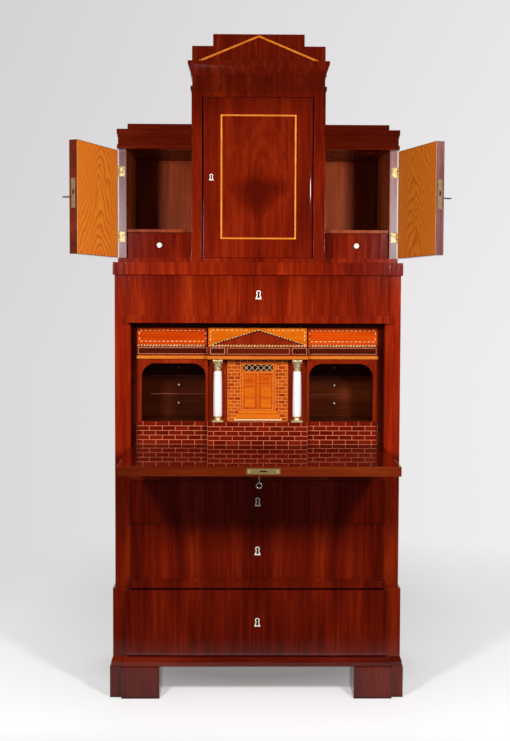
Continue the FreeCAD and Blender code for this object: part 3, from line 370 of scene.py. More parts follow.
# Painted shadow: a darker copy of the wood for the writing ceiling under the frieze's overhang
PAINTED_SHADOW = ((0.012, 0.001, 0.0004), (0.026, 0.002, 0.0006), (0.045, 0.004, 0.001))
# Painted light: a lighter copy of the inside wood for the niche backs, where the lamps fall
BACK_PAINTED_LIGHT = ((0.235, 0.035, 0.0085), (0.36, 0.058, 0.0145), (0.48, 0.094, 0.026))
# Painted highlight: pale, pinkish edges between the small drawers of the gallery, where light catches them
PAINTED_EDGE_HIGHLIGHT = ((0.13, 0.022, 0.016), (0.24, 0.048, 0.036), (0.36, 0.095, 0.075))
INSIDE = ((0.11, 0.014, 0.004), (0.21, 0.032, 0.009), (0.33, 0.065, 0.02))
# Painted shade: a darkened wood for the small drawers and the inside of the gallery, standing for the shade
# of their recess
NEST_PAINTED_SHADE = ((0.055, 0.008, 0.0014), (0.09, 0.013, 0.002), (0.13, 0.022, 0.004))
EDGE = ((0.08, 0.0075, 0.001), (0.135, 0.014, 0.002), (0.20, 0.028, 0.0045))
# Painted reflection: pale pinkish edges, for the wings' front edges and the right door's free edge
PAINTED_REFLECTION = ((0.10, 0.028, 0.028), (0.19, 0.065, 0.062), (0.30, 0.13, 0.13))
JAMB = ((0.15, 0.008, 0.0012), (0.25, 0.0165, 0.0024), (0.36, 0.033, 0.005))
ORANGE = ((0.50, 0.071, 0.002), (0.64, 0.122, 0.003), (0.73, 0.185, 0.007))
REDDISH = ((0.45, 0.034, 0.001), (0.60, 0.055, 0.0015), (0.72, 0.095, 0.003))
MOULDING = ((0.58, 0.12, 0.011), (0.70, 0.19, 0.019), (0.78, 0.27, 0.04))
PINE = ((0.45, 0.27, 0.12), (0.60, 0.39, 0.19), (0.70, 0.48, 0.26))

wood_upright = timber("mahogany_upright", "z", *MAHOGANY, painted_height_shade=True)
wood_across = timber("mahogany_across", "x", *MAHOGANY, seed=3.1, painted_height_shade=True)
wood_doors = timber("mahogany_doors", "z", *MAHOGANY, seed=5.3, painted_height_shade=True)
wood_frieze = timber("mahogany_frieze", "z", *FRIEZE, seed=11.3, painted_height_shade=True)
wood_matched = timber("mahogany_matched", "z", *MAHOGANY, seed=6.4, painted_height_shade=True, matched=True)
wood_flap = timber("mahogany_writing_surface", "x", *FLAP, gloss=0.02, specular=0.55, seed=7.7)
wood_flap_outside = timber("mahogany_fall_front", "y", *MAHOGANY, seed=7.7, painted_height_shade=True)
wood_edge = timber("mahogany_edge", "x", *EDGE, seed=1.9)
wood_painted_reflection = timber("mahogany_edge_painted_reflection", "z", *PAINTED_REFLECTION, gloss=0.3, seed=2.7)
wood_painted_edge_highlight = timber("mahogany_painted_edge_highlight", "x", *PAINTED_EDGE_HIGHLIGHT, gloss=0.3, specular=0.1, seed=3.7)
wood_jamb = timber("mahogany_jamb", "z", *JAMB, seed=4.2)
wood_inside = timber("mahogany_inside", "z", *INSIDE, gloss=0.25, specular=0.04, seed=2.2)
wood_back_painted_light = timber("mahogany_niche_back_painted_light", "z", *BACK_PAINTED_LIGHT, gloss=0.3, specular=0.03, seed=2.9)
wood_nest_painted_shade = timber("mahogany_small_drawers_painted_shade", "x", *NEST_PAINTED_SHADE, gloss=0.3, specular=0.05, seed=9.4)
wood_dim = timber("mahogany_dim_across", "x", *DIM, specular=0.1, seed=8.1)
wood_painted_shadow = timber("mahogany_shaded_across", "x", *PAINTED_SHADOW, specular=0.05, seed=5.8)
# Dark wood for the dust boards, and painted shade on the gallery's rim
wood_dark_and_painted_shade = timber("mahogany_dark_and_painted_shade", "x", *DEEP, seed=8.8)
wood_architrave = timber("mahogany_architrave", "x", *ARCHITRAVE, seed=4.9)
veneer_gold = timber("golden_veneer", "x", *ORANGE, specular=0.04, seed=1.4)
veneer_red = timber("reddish_veneer", "x", *REDDISH, specular=0.04, seed=4.6)
veneer_mould = timber("golden_moulding", "x", *MOULDING, specular=0.08, seed=6.6)
wood_pine = timber("softwood_boards", "y", *PINE, gloss=0.55, specular=0.2, seed=6.1)


def crotch_figure():
    """Mahogany whose grain arches over a knot above a dark funnel, for the tower door."""
    paint = Paint("mahogany_figured", 0.09, 0.3)
    bent = paint.noise(paint.mapped((3, 3, 1.2)), 2.6, 3.0, 0.5)
    curled = paint.noise(paint.mapped((1, 1, 0.8)), 16.0, 3.0, 0.5, 1.2)
    parts = paint.split()
    level = parts["Z"]

    def either_way(growth, most):
        """A noise as a shift to both sides."""
        return paint.spread(growth, 0.2, 0.8, -most, most)

    def reach(x, z, wide, tall, bend):
        """Distance from a place on the door, bent by the growth of the wood."""
        distance = paint.length(paint.mapped((wide, 0, tall), (-wide * x, 0, -tall * z)))
        return paint.total((distance, 1.0), (either_way(bent, bend), 1.0),
                           (either_way(curled, 0.5 * bend), 1.0))

    rings = reach(0.012, 1.73, 9.0, 4.2, 0.3)
    waves = paint.maths("SINE", paint.maths("MULTIPLY", rings, 23.0))
    fading = paint.maths("MULTIPLY", paint.spread(rings, 0.1, 1.2, 0.036, 0.008),
                         paint.spread(level, 1.62, 1.71, 0.25, 1.0))
    knot = paint.spread(reach(-0.018, 1.712, 26.0, 20.0, 0.6), 0.3, 1.1, -0.07, 0.0)

    tip, brim, brim_half = 1.566, 1.672, 0.092
    narrowing = paint.maths("DIVIDE", paint.maths("ABSOLUTE", parts["X"]), brim_half)
    inside = paint.total((paint.spread(level, tip, brim), 1.0), (narrowing, -1.0),
                         (either_way(curled, 0.25), 1.0))
    below_brim = paint.spread(paint.total((level, 1.0), (either_way(bent, 0.03), 1.0)),
                              brim - 0.01, brim + 0.045, 1.0, 0.0)
    funnel = paint.maths("MULTIPLY", paint.spread(inside, -0.2, 0.6, 0.0, -0.22), below_brim)

    streaks = paint.noise(paint.mapped(ALONG["z"]), 70.0, 4.0, 0.6, 0.3)
    fine = paint.noise(paint.mapped(LONG["z"]), 260.0, 3.0, 0.6)
    broad = paint.noise(paint.mapped(BROAD["z"]), 8.0, 2.0, 0.5, 0.6)
    pale = paint.spread(rings, 0.5, 1.4, 0.035, -0.035)
    waving = paint.maths("MULTIPLY", waves, fading)
    mixed = paint.total((broad, 0.5), (streaks, 0.28), (fine, 0.22), (waving, 1.0), (funnel, 1.0),
                        (knot, 1.0), (pale, 1.0))
    colour = paint.ramp(mixed, *zip((0.36, 0.5, 0.64), MAHOGANY))
    paint.bump(fine, 0.08, 0.2, 1.6)
    return paint.finish(paint.painted_height_shade(colour), paint.spread(fine, 0.2, 0.8, 0.07, 0.12))


def ash_figure(name, turn, middle, share):
    """Golden veneer with the nested arches of a flat-sawn board around the middle of the leaf; its colour is
    scaled by a share, lower on the right door as painted shade.
    """
    paint = Paint(name, 0.3, 0.15)
    wide = 7.0
    parts = paint.split(paint.mapped((wide, wide, 1), (-wide * middle, 0, 0), turn))
    swell = paint.maths("POWER", paint.maths("ABSOLUTE", parts["X"]), 1.6)
    ripple = paint.noise(paint.mapped((1, 1, 0.5), turn=turn), 26.0, 2.0, 0.5)
    drift = paint.noise(paint.mapped((1, 1, 0.35), turn=turn), 7.0, 2.0, 0.5)
    hills = paint.total((parts["Z"], 3.0), (swell, 1.7), (ripple, 0.22), (drift, 1.5))
    level = paint.maths("FRACT", paint.maths("MULTIPLY", hills, 7.5))
    fibres = paint.noise(paint.mapped(LONG["z"], turn=turn), 420.0, 2.0, 0.6)

    def shade(red, green, blue):
        return red * share, green * share, blue * share

    warm = paint.ramp(level, (0.0, shade(0.90, 0.27, 0.024)), (0.45, shade(0.86, 0.22, 0.016)),
                      (0.82, shade(0.64, 0.125, 0.009)), (1.0, shade(0.88, 0.25, 0.02)))
    colour = paint.blend(paint.spread(fibres, 0.35, 0.7, 0.0, 0.3), warm, shade(0.66, 0.14, 0.011))
    paint.bump(fibres, 0.15, 0.3)
    return paint.finish(colour, paint.spread(fibres, 0.2, 0.8, 0.24, 0.38))


def toned(name, dark, light, roughness, specular=0.12):
    """Small inlaid pieces, each in a shade of its own."""
    paint = Paint(name, roughness, specular)
    tone = paint.node("ShaderNodeAttribute")
    tone.attribute_name = "tone"
    fibres = paint.noise(paint.mapped(ALONG["x"]), 240.0, 3.0, 0.6)
    mixed = paint.maths("ADD", tone.outputs["Fac"], paint.spread(fibres, 0.3, 0.7, -0.25, 0.25))
    colour = paint.ramp(mixed, (0.0, dark), (1.0, light))
    paint.bump(fibres, 0.08, 0.2)
    return paint.finish(colour, paint.spread(fibres, 0.2, 0.8, roughness - 0.06, roughness + 0.08))


def metal(name, dark, light, roughness, metallic=1.0, hollow=None):
    """Old metal with a little tarnish, and another colour in its hollows where one is given."""
    paint = Paint(name, roughness, 0.5, metallic)
    cloud = paint.noise(paint.coords, 160.0, 4.0, 0.6)
    colour = paint.ramp(cloud, (0.32, dark), (0.58, light))
    if hollow:
        openness = paint.node("ShaderNodeAmbientOcclusion", Distance=0.005).outputs["AO"]
        colour = paint.blend(paint.spread(openness, 0.3, 0.75), hollow, colour)
    paint.bump(paint.noise(paint.coords, 900.0, 2.0, 0.5), 0.08, 0.1)
    return paint.finish(colour, paint.spread(cloud, 0.3, 0.7, roughness + 0.12, roughness - 0.05))


def pale_stone(name, dark, light, scale):
    """Alabaster or bone: pale with faint clouds."""
    roughness = 0.3
    paint = Paint(name, roughness, 0.5)
    cloud = paint.noise(paint.mapped((1, 1, 0.4)), scale, 5.0, 0.6, 0.8)
    colour = paint.ramp(cloud, (0.35, dark), (0.55, light))
    paint.bump(cloud, 0.05, 0.1)
    return paint.finish(colour, paint.spread(cloud, 0.2, 0.8, roughness - 0.05, roughness + 0.1))


def planked(name):
    """Upright softwood planks with open joints, for the back."""
    paint = Paint(name, 0.6, 0.2)
    plank_width = 0.155
    across = paint.maths("DIVIDE", paint.split()["X"], plank_width)
    edge = paint.maths("PINGPONG", across, 0.5)
    shade = paint.node("ShaderNodeTexWhiteNoise")
    shade.noise_dimensions = "1D"
    paint.feed(shade.inputs["W"], paint.maths("FLOOR", across))
    streaks = paint.noise(paint.mapped(ALONG["z"]), 60.0, 4.0, 0.6, 0.4)
    mixed = paint.total((streaks, 0.75), (shade.outputs["Value"], 0.25))
    plain = paint.ramp(mixed, (0.3, (0.20, 0.10, 0.04)), (0.5, (0.30, 0.165, 0.07)),
                       (0.7, (0.40, 0.235, 0.11)))
    joint = paint.spread(edge, 0.0, 0.012, 1.0, 0.0)
    colour = paint.blend(joint, plain, (0.03, 0.015, 0.006))
    paint.bump(paint.spread(edge, 0.0, 0.015), 0.5, 1.5)
    return paint.finish(colour, paint.spread(streaks, 0.2, 0.8, 0.5, 0.7))


# How far the wing doors stand open at rest, in degrees, then the middle of each leaf along its turned width
# and the share of its colour, lower on the right door as painted shade
OPEN_ANGLE = {"left": 115, "right": 111}
wood_figured = crotch_figure()
ash = {"left": ash_figure("ash_veneer_left", OPEN_ANGLE["left"], 0.282, 1.0),
       "right": ash_figure("ash_veneer_right", -OPEN_ANGLE["right"], -0.252, 0.78)}
brick_red = toned("brick_veneer", (0.115, 0.004, 0.0009), (0.21, 0.0095, 0.0019), 0.2)
brick_small = toned("small_brick_veneer", (0.31, 0.026, 0.002), (0.60, 0.11, 0.006), 0.25)
mortar = toned("mortar_stringing", (0.94, 0.30, 0.12), (1.0, 0.44, 0.21), 0.3)
string_light = toned("light_stringing", (0.80, 0.40, 0.14), (0.98, 0.66, 0.36), 0.25)
string_rose = toned("rose_stringing", (0.50, 0.19, 0.095), (0.74, 0.36, 0.21), 0.25)
string_orange = toned("orange_stringing", (0.50, 0.10, 0.008), (0.92, 0.34, 0.03), 0.22)
string_gold = toned("golden_joints", (0.84, 0.26, 0.05), (0.95, 0.38, 0.09), 0.25, 0.06)
# Dark stringing; the same dark sheet also fills keyholes, keyways and screw slots as painted shade of the
# openings
string_dark_and_painted_shade = toned("dark_stringing_and_painted_shade", (0.012, 0.004, 0.002), (0.03, 0.008, 0.003), 0.25)
string_brown = toned("brown_panels", (0.05, 0.0042, 0.0006), (0.14, 0.0125, 0.002), 0.3, 0.02)
leaf_gold = toned("golden_marquetry", (0.44, 0.035, 0.0012), (0.76, 0.165, 0.006), 0.22, 0.05)
brass = metal("old_brass", (0.34, 0.22, 0.06), (0.66, 0.49, 0.21), 0.36)
brass_hinge = metal("hinge_brass", (0.25, 0.16, 0.065), (0.44, 0.32, 0.17), 0.5)
gilt = metal("gilt_brass", (0.72, 0.50, 0.16), (0.98, 0.86, 0.50), 0.3, 0.6, (0.10, 0.055, 0.012))
brass_dull = metal("dull_brass", (0.34, 0.24, 0.08), (0.58, 0.43, 0.17), 0.45)
steel = metal("key_steel", (0.09, 0.075, 0.07), (0.35, 0.325, 0.31), 0.3)
bone = pale_stone("turned_bone", (0.90, 0.80, 0.66), (1.0, 0.95, 0.87), 220.0)
alabaster = pale_stone("alabaster", (0.93, 0.91, 0.87), (0.99, 0.985, 0.965), 45.0)
back_planks = planked("softwood_planks")


# Finishes of the solids that stay as they are

def finish_node(node, *materials, choose=None, eased=1.2):
    """Give a solid its materials, chosen face by face where it has more than one."""
    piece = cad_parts[node]
    piece.data.materials.clear()
    for material in materials:
        piece.data.materials.append(material)
    for face in piece.data.polygons:
        face.material_index = choose(face.center / MM, face.normal) if choose else 0
    if eased:
        weld = piece.modifiers.new("joined_corners", "WELD")
        weld.merge_threshold = 0.00001
        ease(piece, eased)


FRONTS = {
    wood_upright: ("feet", "pedestal_cheeks", "case_posts", "case_sides", "flap_rail", "main_cornice",
                   "cabinet_base", "tower_cornice", "tower_pediment"),
    wood_matched: ("drawer_one_front", "drawer_two_front", "drawer_three_front"),
    wood_across: ("plinth_moulding",), wood_frieze: ("frieze_drawer_front",), wood_figured: ("tower_door",),
    wood_flap: ("writing_floor",), wood_painted_shadow: ("writing_ceiling",), wood_dim: ("wing_cornices",),
    veneer_gold: ("gallery_door",), back_planks: ("back_panel",),
}
# Boards that butt against each other inside one solid keep their sharp edges
BUTTED = {
    wood_dark_and_painted_shade: ("dust_boards",), wood_upright: ("tower_case",), wood_jamb: ("gallery_arches",),
    wood_pine: ("frieze_drawer_box", "drawer_one_box", "drawer_two_box", "drawer_three_box"),
}
FITTINGS = {
    brass: ("flap_pivots", "tower_door_pivots"), brass_dull: ("flap_lock",),
    brass_hinge: ("wing_hinge_leaves", "wing_fittings_left", "wing_fittings_right"),
    alabaster: ("column_shafts",), gilt: ("column_capitals", "column_bases"),
    bone: ("wing_knob_left", "wing_knob_right"), steel: ("flap_key", "wing_key_left", "wing_key_right"),
}
for eased, group in ((1.2, FRONTS), (0, BUTTED), (0.3, FITTINGS)):
    for material, names in group.items():
        for node in names:
            finish_node(node, material, eased=eased)

# The y of a normal that looks to the front, the level under the architrave, and how thick front boards are
FRONTAL = -0.9
GOLDEN_BELOW = 1125
GALLERY_BOARD, WING_BOARD, NICHE_BOARD = 12, 16, 6
finish_node("gallery_entablature", wood_architrave, veneer_mould,
            choose=lambda at, normal: 1 if at.z < GOLDEN_BELOW else 0, eased=0.5)
finish_node("brick_plinths", wood_inside, mortar, eased=0,
            choose=lambda at, normal: 1 if normal.y < FRONTAL else 0)


def flap_face(at, normal):
    """Writing surface, front edge or outside of the fall front."""
    if normal.z > 0.7:
        return 0
    return 1 if normal.y < -0.7 else 2


finish_node("flap_panel", wood_flap, wood_edge, wood_flap_outside, choose=flap_face)

NEST_FRONT, NEST_OUTER, NEST_BASE, NEST_HEAD = 262, 370, 925, 1213
GALLERY_RIM, GALLERY_JAMBS = 400, 90


def gallery_face(at, normal):
    """The inside of the gallery, darkened as painted shade of the recess; its jambs; the edges between its
    small drawers, given a painted highlight; or its rim, darkened as painted shade.
    """
    if normal.y > FRONTAL:
        return 0
    if abs(at.y - NEST_FRONT) < 1:
        return 2 if abs(at.x) < NEST_OUTER and at.z > NEST_BASE else 0
    if abs(at.x) > GALLERY_RIM or at.z > NEST_HEAD:
        return 3
    return 1 if at.y < GALLERY_JAMBS else 0


def front_board(node, thick):
    """Tell the front board of a drawer from its box."""
    limit = front_of(node) + thick
    return lambda at, normal: 1 if at.y < limit else 0


finish_node("gallery_case", wood_nest_painted_shade, wood_jamb, wood_painted_edge_highlight, wood_dark_and_painted_shade, choose=gallery_face, eased=0)
for word, front_wood in (("left", veneer_red), ("centre", veneer_gold), ("right", veneer_red)):
    node = f"gallery_drawer_{word}"
    finish_node(node, wood_pine, front_wood, choose=front_board(node, GALLERY_BOARD), eased=0)

WING_FRONT, WING_BACK, WING_OUTSIDE = 32, 200, 452


def wing_face(at, normal):
    """The inside of a wing, its front edge with a painted reflection, its outer side or its back, which has a
    lighter copy of the inside wood as painted light.
    """
    if normal.y < FRONTAL:
        return 1 if at.y < WING_FRONT else 3 if at.y > WING_BACK else 0
    return 2 if abs(at.x) > WING_OUTSIDE else 0


for side, word in SIDES:
    finish_node(f"wing_case_{word}", wood_inside, wood_painted_reflection, wood_upright, wood_back_painted_light, choose=wing_face,
                eased=0)
    # The right door's free edge takes the painted reflection; the left one the plain edge wood
    finish_node(f"wing_door_{word}", wood_doors, wood_painted_reflection if side > 0 else wood_edge,
                choose=lambda at, normal: 1 if normal.y < -0.8 else 0)
    node = f"wing_drawer_{word}"
    finish_node(node, wood_pine, wood_upright, choose=front_board(node, WING_BOARD), eased=0)
    for tier in TIERS:
        # The small drawers' fronts take the darkened wood, painted shade of their niche
        finish_node(f"niche_drawer_{word}_{tier}", wood_pine, wood_nest_painted_shade, eased=0,
                    choose=lambda at, normal: 1 if at.y < NEST_FRONT + NICHE_BOARD else 0)


# Inlay on the upper cabinet

INLAY = (-0.3, 0.4)
DASH, GAP, DASH_WIDTH = 8.0, 6.9, 2.2
ROPE_WIDTH, ROPE_STRIP = 5.0, 4.85


def laid_in(high):
    """From under the surface to a level above it."""
    return INLAY[0], high


def line_between(start, end, width, pitch):
    """Start, direction, half width, number of strips and length of each for a line on a surface."""
    start, end = Vector(start), Vector(end)
    along = (end - start).normalized()
    count = max(1, round((end - start).length / pitch))
    return start, along, Vector((-along.y, along.x)) * width / 2, count, (end - start).length / count


def dashes(form, start, end, place):
    """A broken line of short strips between two points of a surface."""
    start, along, across, count, pitch = line_between(start, end, DASH_WIDTH, DASH + GAP)
    for index in range(count):
        one = start + along * (index * pitch + (pitch - DASH) / 2)
        two = one + along * DASH
        form.prism([one - across, two - across, two + across, one + across], *INLAY, 0, place,
                   0.4 + 0.6 * chance.random())


def rope(form, start, end, place):
    """Slanted strips of two woods by turns, as in rope stringing."""
    start, along, across, count, pitch = line_between(start, end, ROPE_WIDTH, ROPE_STRIP)
    over = across + along * ROPE_WIDTH / 2
    for index in range(count):
        one = start + along * pitch * index
        two = one + along * pitch
        form.prism([one - over, two - over, two + over, one + over], *INLAY, index % 2, place,
                   chance.random())


def tower_inlay():
    """The stringing on the tower door and the pointed line on the stepped top."""
    line = Form()
    half, low, high, width, strip = 122.0, 1505.0, 1904.0, 4.8, 40.0
    place = facing_front(0, front_of("tower_door"), 0)
    for v in courses(low, high, round((high - low) / strip)):
        for side, _ in SIDES:
            line.block(span(side, half - width, half), v, INLAY, 0, place, 0.6 + 0.45 * chance.random())
    for v in ((low, low + width), (high - width, high)):
        line.block((width - half, half - width), v, INLAY, 0, place)
    line.make("tower_door_stringing", "tower_door", "satinwood", [string_orange])

    peak = Form()
    low, high = box_mm("tower_pediment")
    foot, apex, half = low.z + 1.0, high.z - 3.5, 198.0
    inner_half, inner_apex = 182.0, apex - 6.2
    place = facing_front(0, low.y, 0)
    for side, _ in SIDES:
        outline = [(side * half, foot), (side * inner_half, foot), (0, inner_apex), (0, apex)]
        peak.prism(outline, *INLAY, 0, place, 0.3)
    peak.make("pediment_stringing", "case", "satinwood", [string_orange])


def keyhole_plate(name, body, place, scale=1.0):
    """A thin keyhole-shaped border of bone on a flared foot, with a dark sheet in its opening as painted
    shade, and its pin.
    """
    head, head_level, foot_half, foot_level = 7.6, 6.6, 10.2, -14.6
    hole, slot_half, slot_level, pin = 4.6, 4.4, -10.4, 0.9
    steps = 14

    def outline(radius, start, half, level):
        """Around the head and down to the two corners of the foot."""
        points = [(-half, level)] + arc((0, head_level), radius, start, 180 - start, steps) + [(half, level)]
        return [(u * scale, v * scale) for u, v in points]

    inner = outline(hole, 238, slot_half, slot_level)
    plate = Form()
    plate.border(outline(head, 226, foot_half, foot_level), inner, *INLAY, 0, place)
    # The opening is a dark sheet: painted shade
    plate.prism(inner, *laid_in(0.1), 1, place)
    plate.turned([(pin * scale, INLAY[0]), (pin * scale, INLAY[1]), (0.7 * pin * scale, 2 * INLAY[1])], 12, 0,
                 place @ Matrix.Translation((0, head_level * scale, 0)))
    plate.make(name, body, "bone", [bone, string_dark_and_painted_shade], bevel=0.15)


def keyhole_plates():
    """One plate on the tower door and on each wide drawer."""
    tower_x, tower_level, tower_scale, drawer_x = -152, 1704, 0.72, 1.5
    place = facing_front(tower_x, front_of("tower_door"), tower_level)
    keyhole_plate("tower_keyhole", "tower_door", place, tower_scale)
    plates = (("frieze_drawer", -16, 1325), ("drawer_one", -16, 651),
              ("drawer_three", front_of("drawer_three_front"), 255), ("drawer_two", -10, 488))
    for body, front, level in plates:
        keyhole_plate(f"{body}_keyhole", body, facing_front(drawer_x, front, level))


# Marquetry on the inner cabinet

CENTRE_FRONT, SIDE_FRONT = 40, 64


def laid_bricks(form, u, rows, length, joint, place, shifted=1, mirror=1, inner=None, middle=0):
    """Courses of bricks in running bond; inner gives the part of a course to leave free about the middle."""
    for number, (low, high) in enumerate(rows):
        start = u[0] - (length / 2 if number % 2 == shifted else 0)
        free = inner((low + high) / 2) if inner else None
        while start < u[1]:
            one, two = max(start, u[0]) + joint / 2, min(start + length, u[1]) - joint / 2
            spans = [(one, two)]
            if free:
                spans = [(one, min(two, middle - free)), (max(one, middle + free), two)]
            for left, right in spans:
                if right - left > joint:
                    v = (low + joint / 2, high - joint / 2)
                    form.block(span(mirror, left, right), v, INLAY, 0, place, chance.random())
            start += length


def courses(low, high, count):
    """Levels of a number of equal courses."""
    pitch = (high - low) / count
    return [(low + pitch * index, low + pitch * (index + 1)) for index in range(count)]


def brick_plinth_inlay():
    """The brick courses on the three plinths."""
    low, high = box_mm("brick_plinths")
    joint, centre_half, outer, centre_brick, side_brick = 1.3, 165, 400, 41.25, 43.0
    rows = courses(low.z, high.z + joint / 2, 5)
    bricks = Form()
    laid_bricks(bricks, (-centre_half, centre_half), rows, centre_brick, joint, facing_front(0, low.y, 0),
                shifted=0)
    for side, _ in SIDES:
        laid_bricks(bricks, (centre_half, outer), rows, side_brick, joint, facing_front(0, SIDE_FRONT, 0),
                    mirror=side)
    bricks.make("plinth_bricks", "case", "brick_veneer", [brick_red])


def entablature_inlay():
    """Stringing on the architrave and on the three drawers above it."""
    lines = Form()
    level, line = (1130, 1151.5), 1.7
    frames = [(u, CENTRE_FRONT) for u in ((-156, -108), (-100.5, 105.0), (114, 162))]
    frames += [(u, SIDE_FRONT) for u in ((-395, -167), (170, 395))]
    for u, front in frames:
        place = facing_front(0, front, 0)
        lines.border(rectangle(u, level), rectangle(u, level, line), *INLAY, 0, place, chance.random())
        panel_tone = 0.75 if u[0] < 0 < u[1] else 0.25
        lines.prism(rectangle(u, level, line), *laid_in(0.2), 1, place, panel_tone)
    lines.make("architrave_stringing", "case", "satinwood", [string_rose, string_brown])

    rope_level, dash_low, dash_high, side_high = 1158.2, 1172, 1210, 1208
    dash_u, rope_u = (173.0, 391.0), (171.0, 396.0)
    for side, word in SIDES:
        drawer = Form()
        place = facing_front(0, SIDE_FRONT, 0)
        near, far = span(side, *dash_u)
        for v in (dash_low, side_high):
            dashes(drawer, (near, v), (far, v), place)
        for u in (near, far):
            dashes(drawer, (u, dash_low), (u, side_high), place)
        near, far = span(side, *rope_u)
        rope(drawer, (near, rope_level), (far, rope_level), place)
        drawer.make(f"gallery_drawer_{word}_stringing", f"gallery_drawer_{word}", "satinwood",
                    [string_light, string_dark_and_painted_shade])

    centre = Form()
    place = facing_front(0, CENTRE_FRONT, 0)
    left_foot, right_foot, foot, apex = -149.0, 154.0, 1161.5, (2.5, 1209.0)
    dash_inner, dash_outer, rope_half = 30, 155, 158
    centre.prism([(left_foot, foot), (right_foot, foot), apex], *INLAY, 2, place)
    for side, end in ((-1, left_foot), (1, right_foot)):
        rope(centre, (end, foot), apex, place)
        corner = (side * dash_outer, dash_high)
        dashes(centre, (side * dash_inner, dash_high), corner, place)
        dashes(centre, (side * dash_outer, dash_low), corner, place)
    rope(centre, (-rope_half, rope_level), (rope_half, rope_level), place)
    centre.make("gallery_drawer_centre_stringing", "gallery_drawer_centre", "satinwood",
                [string_light, string_dark_and_painted_shade, wood_jamb])


# Tops, bottoms and half widths of the steps, then the panelled leaves and the casing around them
STEPS = ((941, 931.5, 66.0), (928.5, 914.5, 73.5), (912.5, 908.0, 79.0))
LEAF_HALF, CASE_HALF = 51.0, 58.0
LEAF_LOW, LEAF_HIGH, LIGHT_HIGH, CASE_HIGH = 943.5, 1069.0, 1095.5, 1102.5
TRANSOM = 4
PANELS = ((953.5, 978.0, 1.0), (990.0, 1016.5, 0.9), (1029.0, 1056.5, 0.55))


def temple_bricks(place, left, right, middle):
    """Brick courses at the sides of the temple door and a course over it."""
    low, count, brick, joint = 906.5, 17, 22.6, 1.5
    head, head_brick, head_joint, first_joint = (CASE_HIGH, 1111.5), 23.0, 2.4, -79.0

    def free_half(level):
        for top, bottom, half in STEPS:
            if bottom <= level <= top:
                return half + 1.0
        return CASE_HALF + 1.0

    bricks = Form()
    laid_bricks(bricks, (left, right), courses(low, CASE_HIGH, count), brick, joint, place, inner=free_half,
                middle=middle)
    bricks.block((left, right), (low - 0.5, CASE_HIGH), laid_in(0.15), 1, place)
    for u in ((left, first_joint), (first_joint, right)):
        laid_bricks(bricks, u, [head], head_brick, head_joint, place)
    bricks.block((left, right), head, laid_in(0.15), 2, place)
    bricks.make("temple_bricks", "gallery_door", "brick_veneer", [brick_small, string_gold, string_light])


def temple_leaves(place):
    """The casing, the pair of panelled leaves and the three steps."""
    leaves = Form()
    leaf_u, meeting, seam, margin, rebate = (-LEAF_HALF, LEAF_HALF), 2.2, 2.6, 1.6, 1.4
    field_u, field_v, panel_u, inset = (9.0, 45.0), (950.0, 1060.5), (12.0, 42.5), 4.0
    leaves.border(rectangle((-CASE_HALF, CASE_HALF), (LEAF_LOW - 1, CASE_HIGH)),
                  rectangle(leaf_u, (LEAF_LOW, LIGHT_HIGH)), *INLAY, 0, place)
    leaves.block(leaf_u, (LEAF_HIGH, LEAF_HIGH + TRANSOM), INLAY, 0, place, 0.4)
    leaves.block((-meeting, meeting), (LEAF_LOW, LEAF_HIGH), laid_in(0.7), 0, place, 0.7)
    for side, _ in SIDES:
        leaves.block(span(side, seam, LEAF_HALF - margin), (LEAF_LOW + rebate, LEAF_HIGH - rebate), INLAY, 0,
                     place, 0.3)
        leaves.block(span(side, *field_u), field_v, laid_in(0.5), 1, place, 0.9)
        u = span(side, *panel_u)
        for bottom, top, tone in PANELS:
            leaves.block(u, (bottom, top), laid_in(0.6), 0, place, tone)
            leaves.prism(rectangle(u, (bottom, top), inset), *laid_in(0.7), 0, place, tone - 0.2)
    for (top, bottom, half), mark in zip(STEPS, (0, 0, 2)):
        leaves.block((-half - 1, half + 1), (bottom - 1.4, top + 1.0), INLAY, 1, place, 0.3)
        leaves.block((-half, half), (bottom, top), laid_in(0.6), mark, place, 1.1)
    leaves.make("temple_leaves", "gallery_door", "satinwood", [leaf_gold, brick_small, string_light])


def temple_lattice(place):
    """The latticed light over the leaves."""
    light = Form()
    low, high, cells, bar = LEAF_HIGH + TRANSOM + 0.6, LIGHT_HIGH - 0.6, 5, 0.75
    light.block((1 - LEAF_HALF, LEAF_HALF - 1), (low, high), laid_in(0.3), 1, place)
    for one, two in courses(2 - LEAF_HALF, LEAF_HALF - 2, cells):
        for start, end in ((one, two), (two, one)):
            outline = [(start - bar, low), (start + bar, low), (end + bar, high), (end - bar, high)]
            light.prism(outline, *laid_in(0.5), 0, place, 0.9)
    light.make("temple_lattice", "gallery_door", "satinwood", [string_light, string_dark_and_painted_shade])


def temple_door_inlay():
    """The temple door: bricks around a pair of panelled leaves, a latticed light and three steps."""
    low, high = box_mm("gallery_door")
    left, right, middle = -98.5, high.x - 1.0, 2.0
    temple_bricks(facing_front(0, low.y, 0), left, right, middle)
    temple_leaves(facing_front(middle, low.y, 0))
    temple_lattice(facing_front(middle, low.y, 0))


# Columns

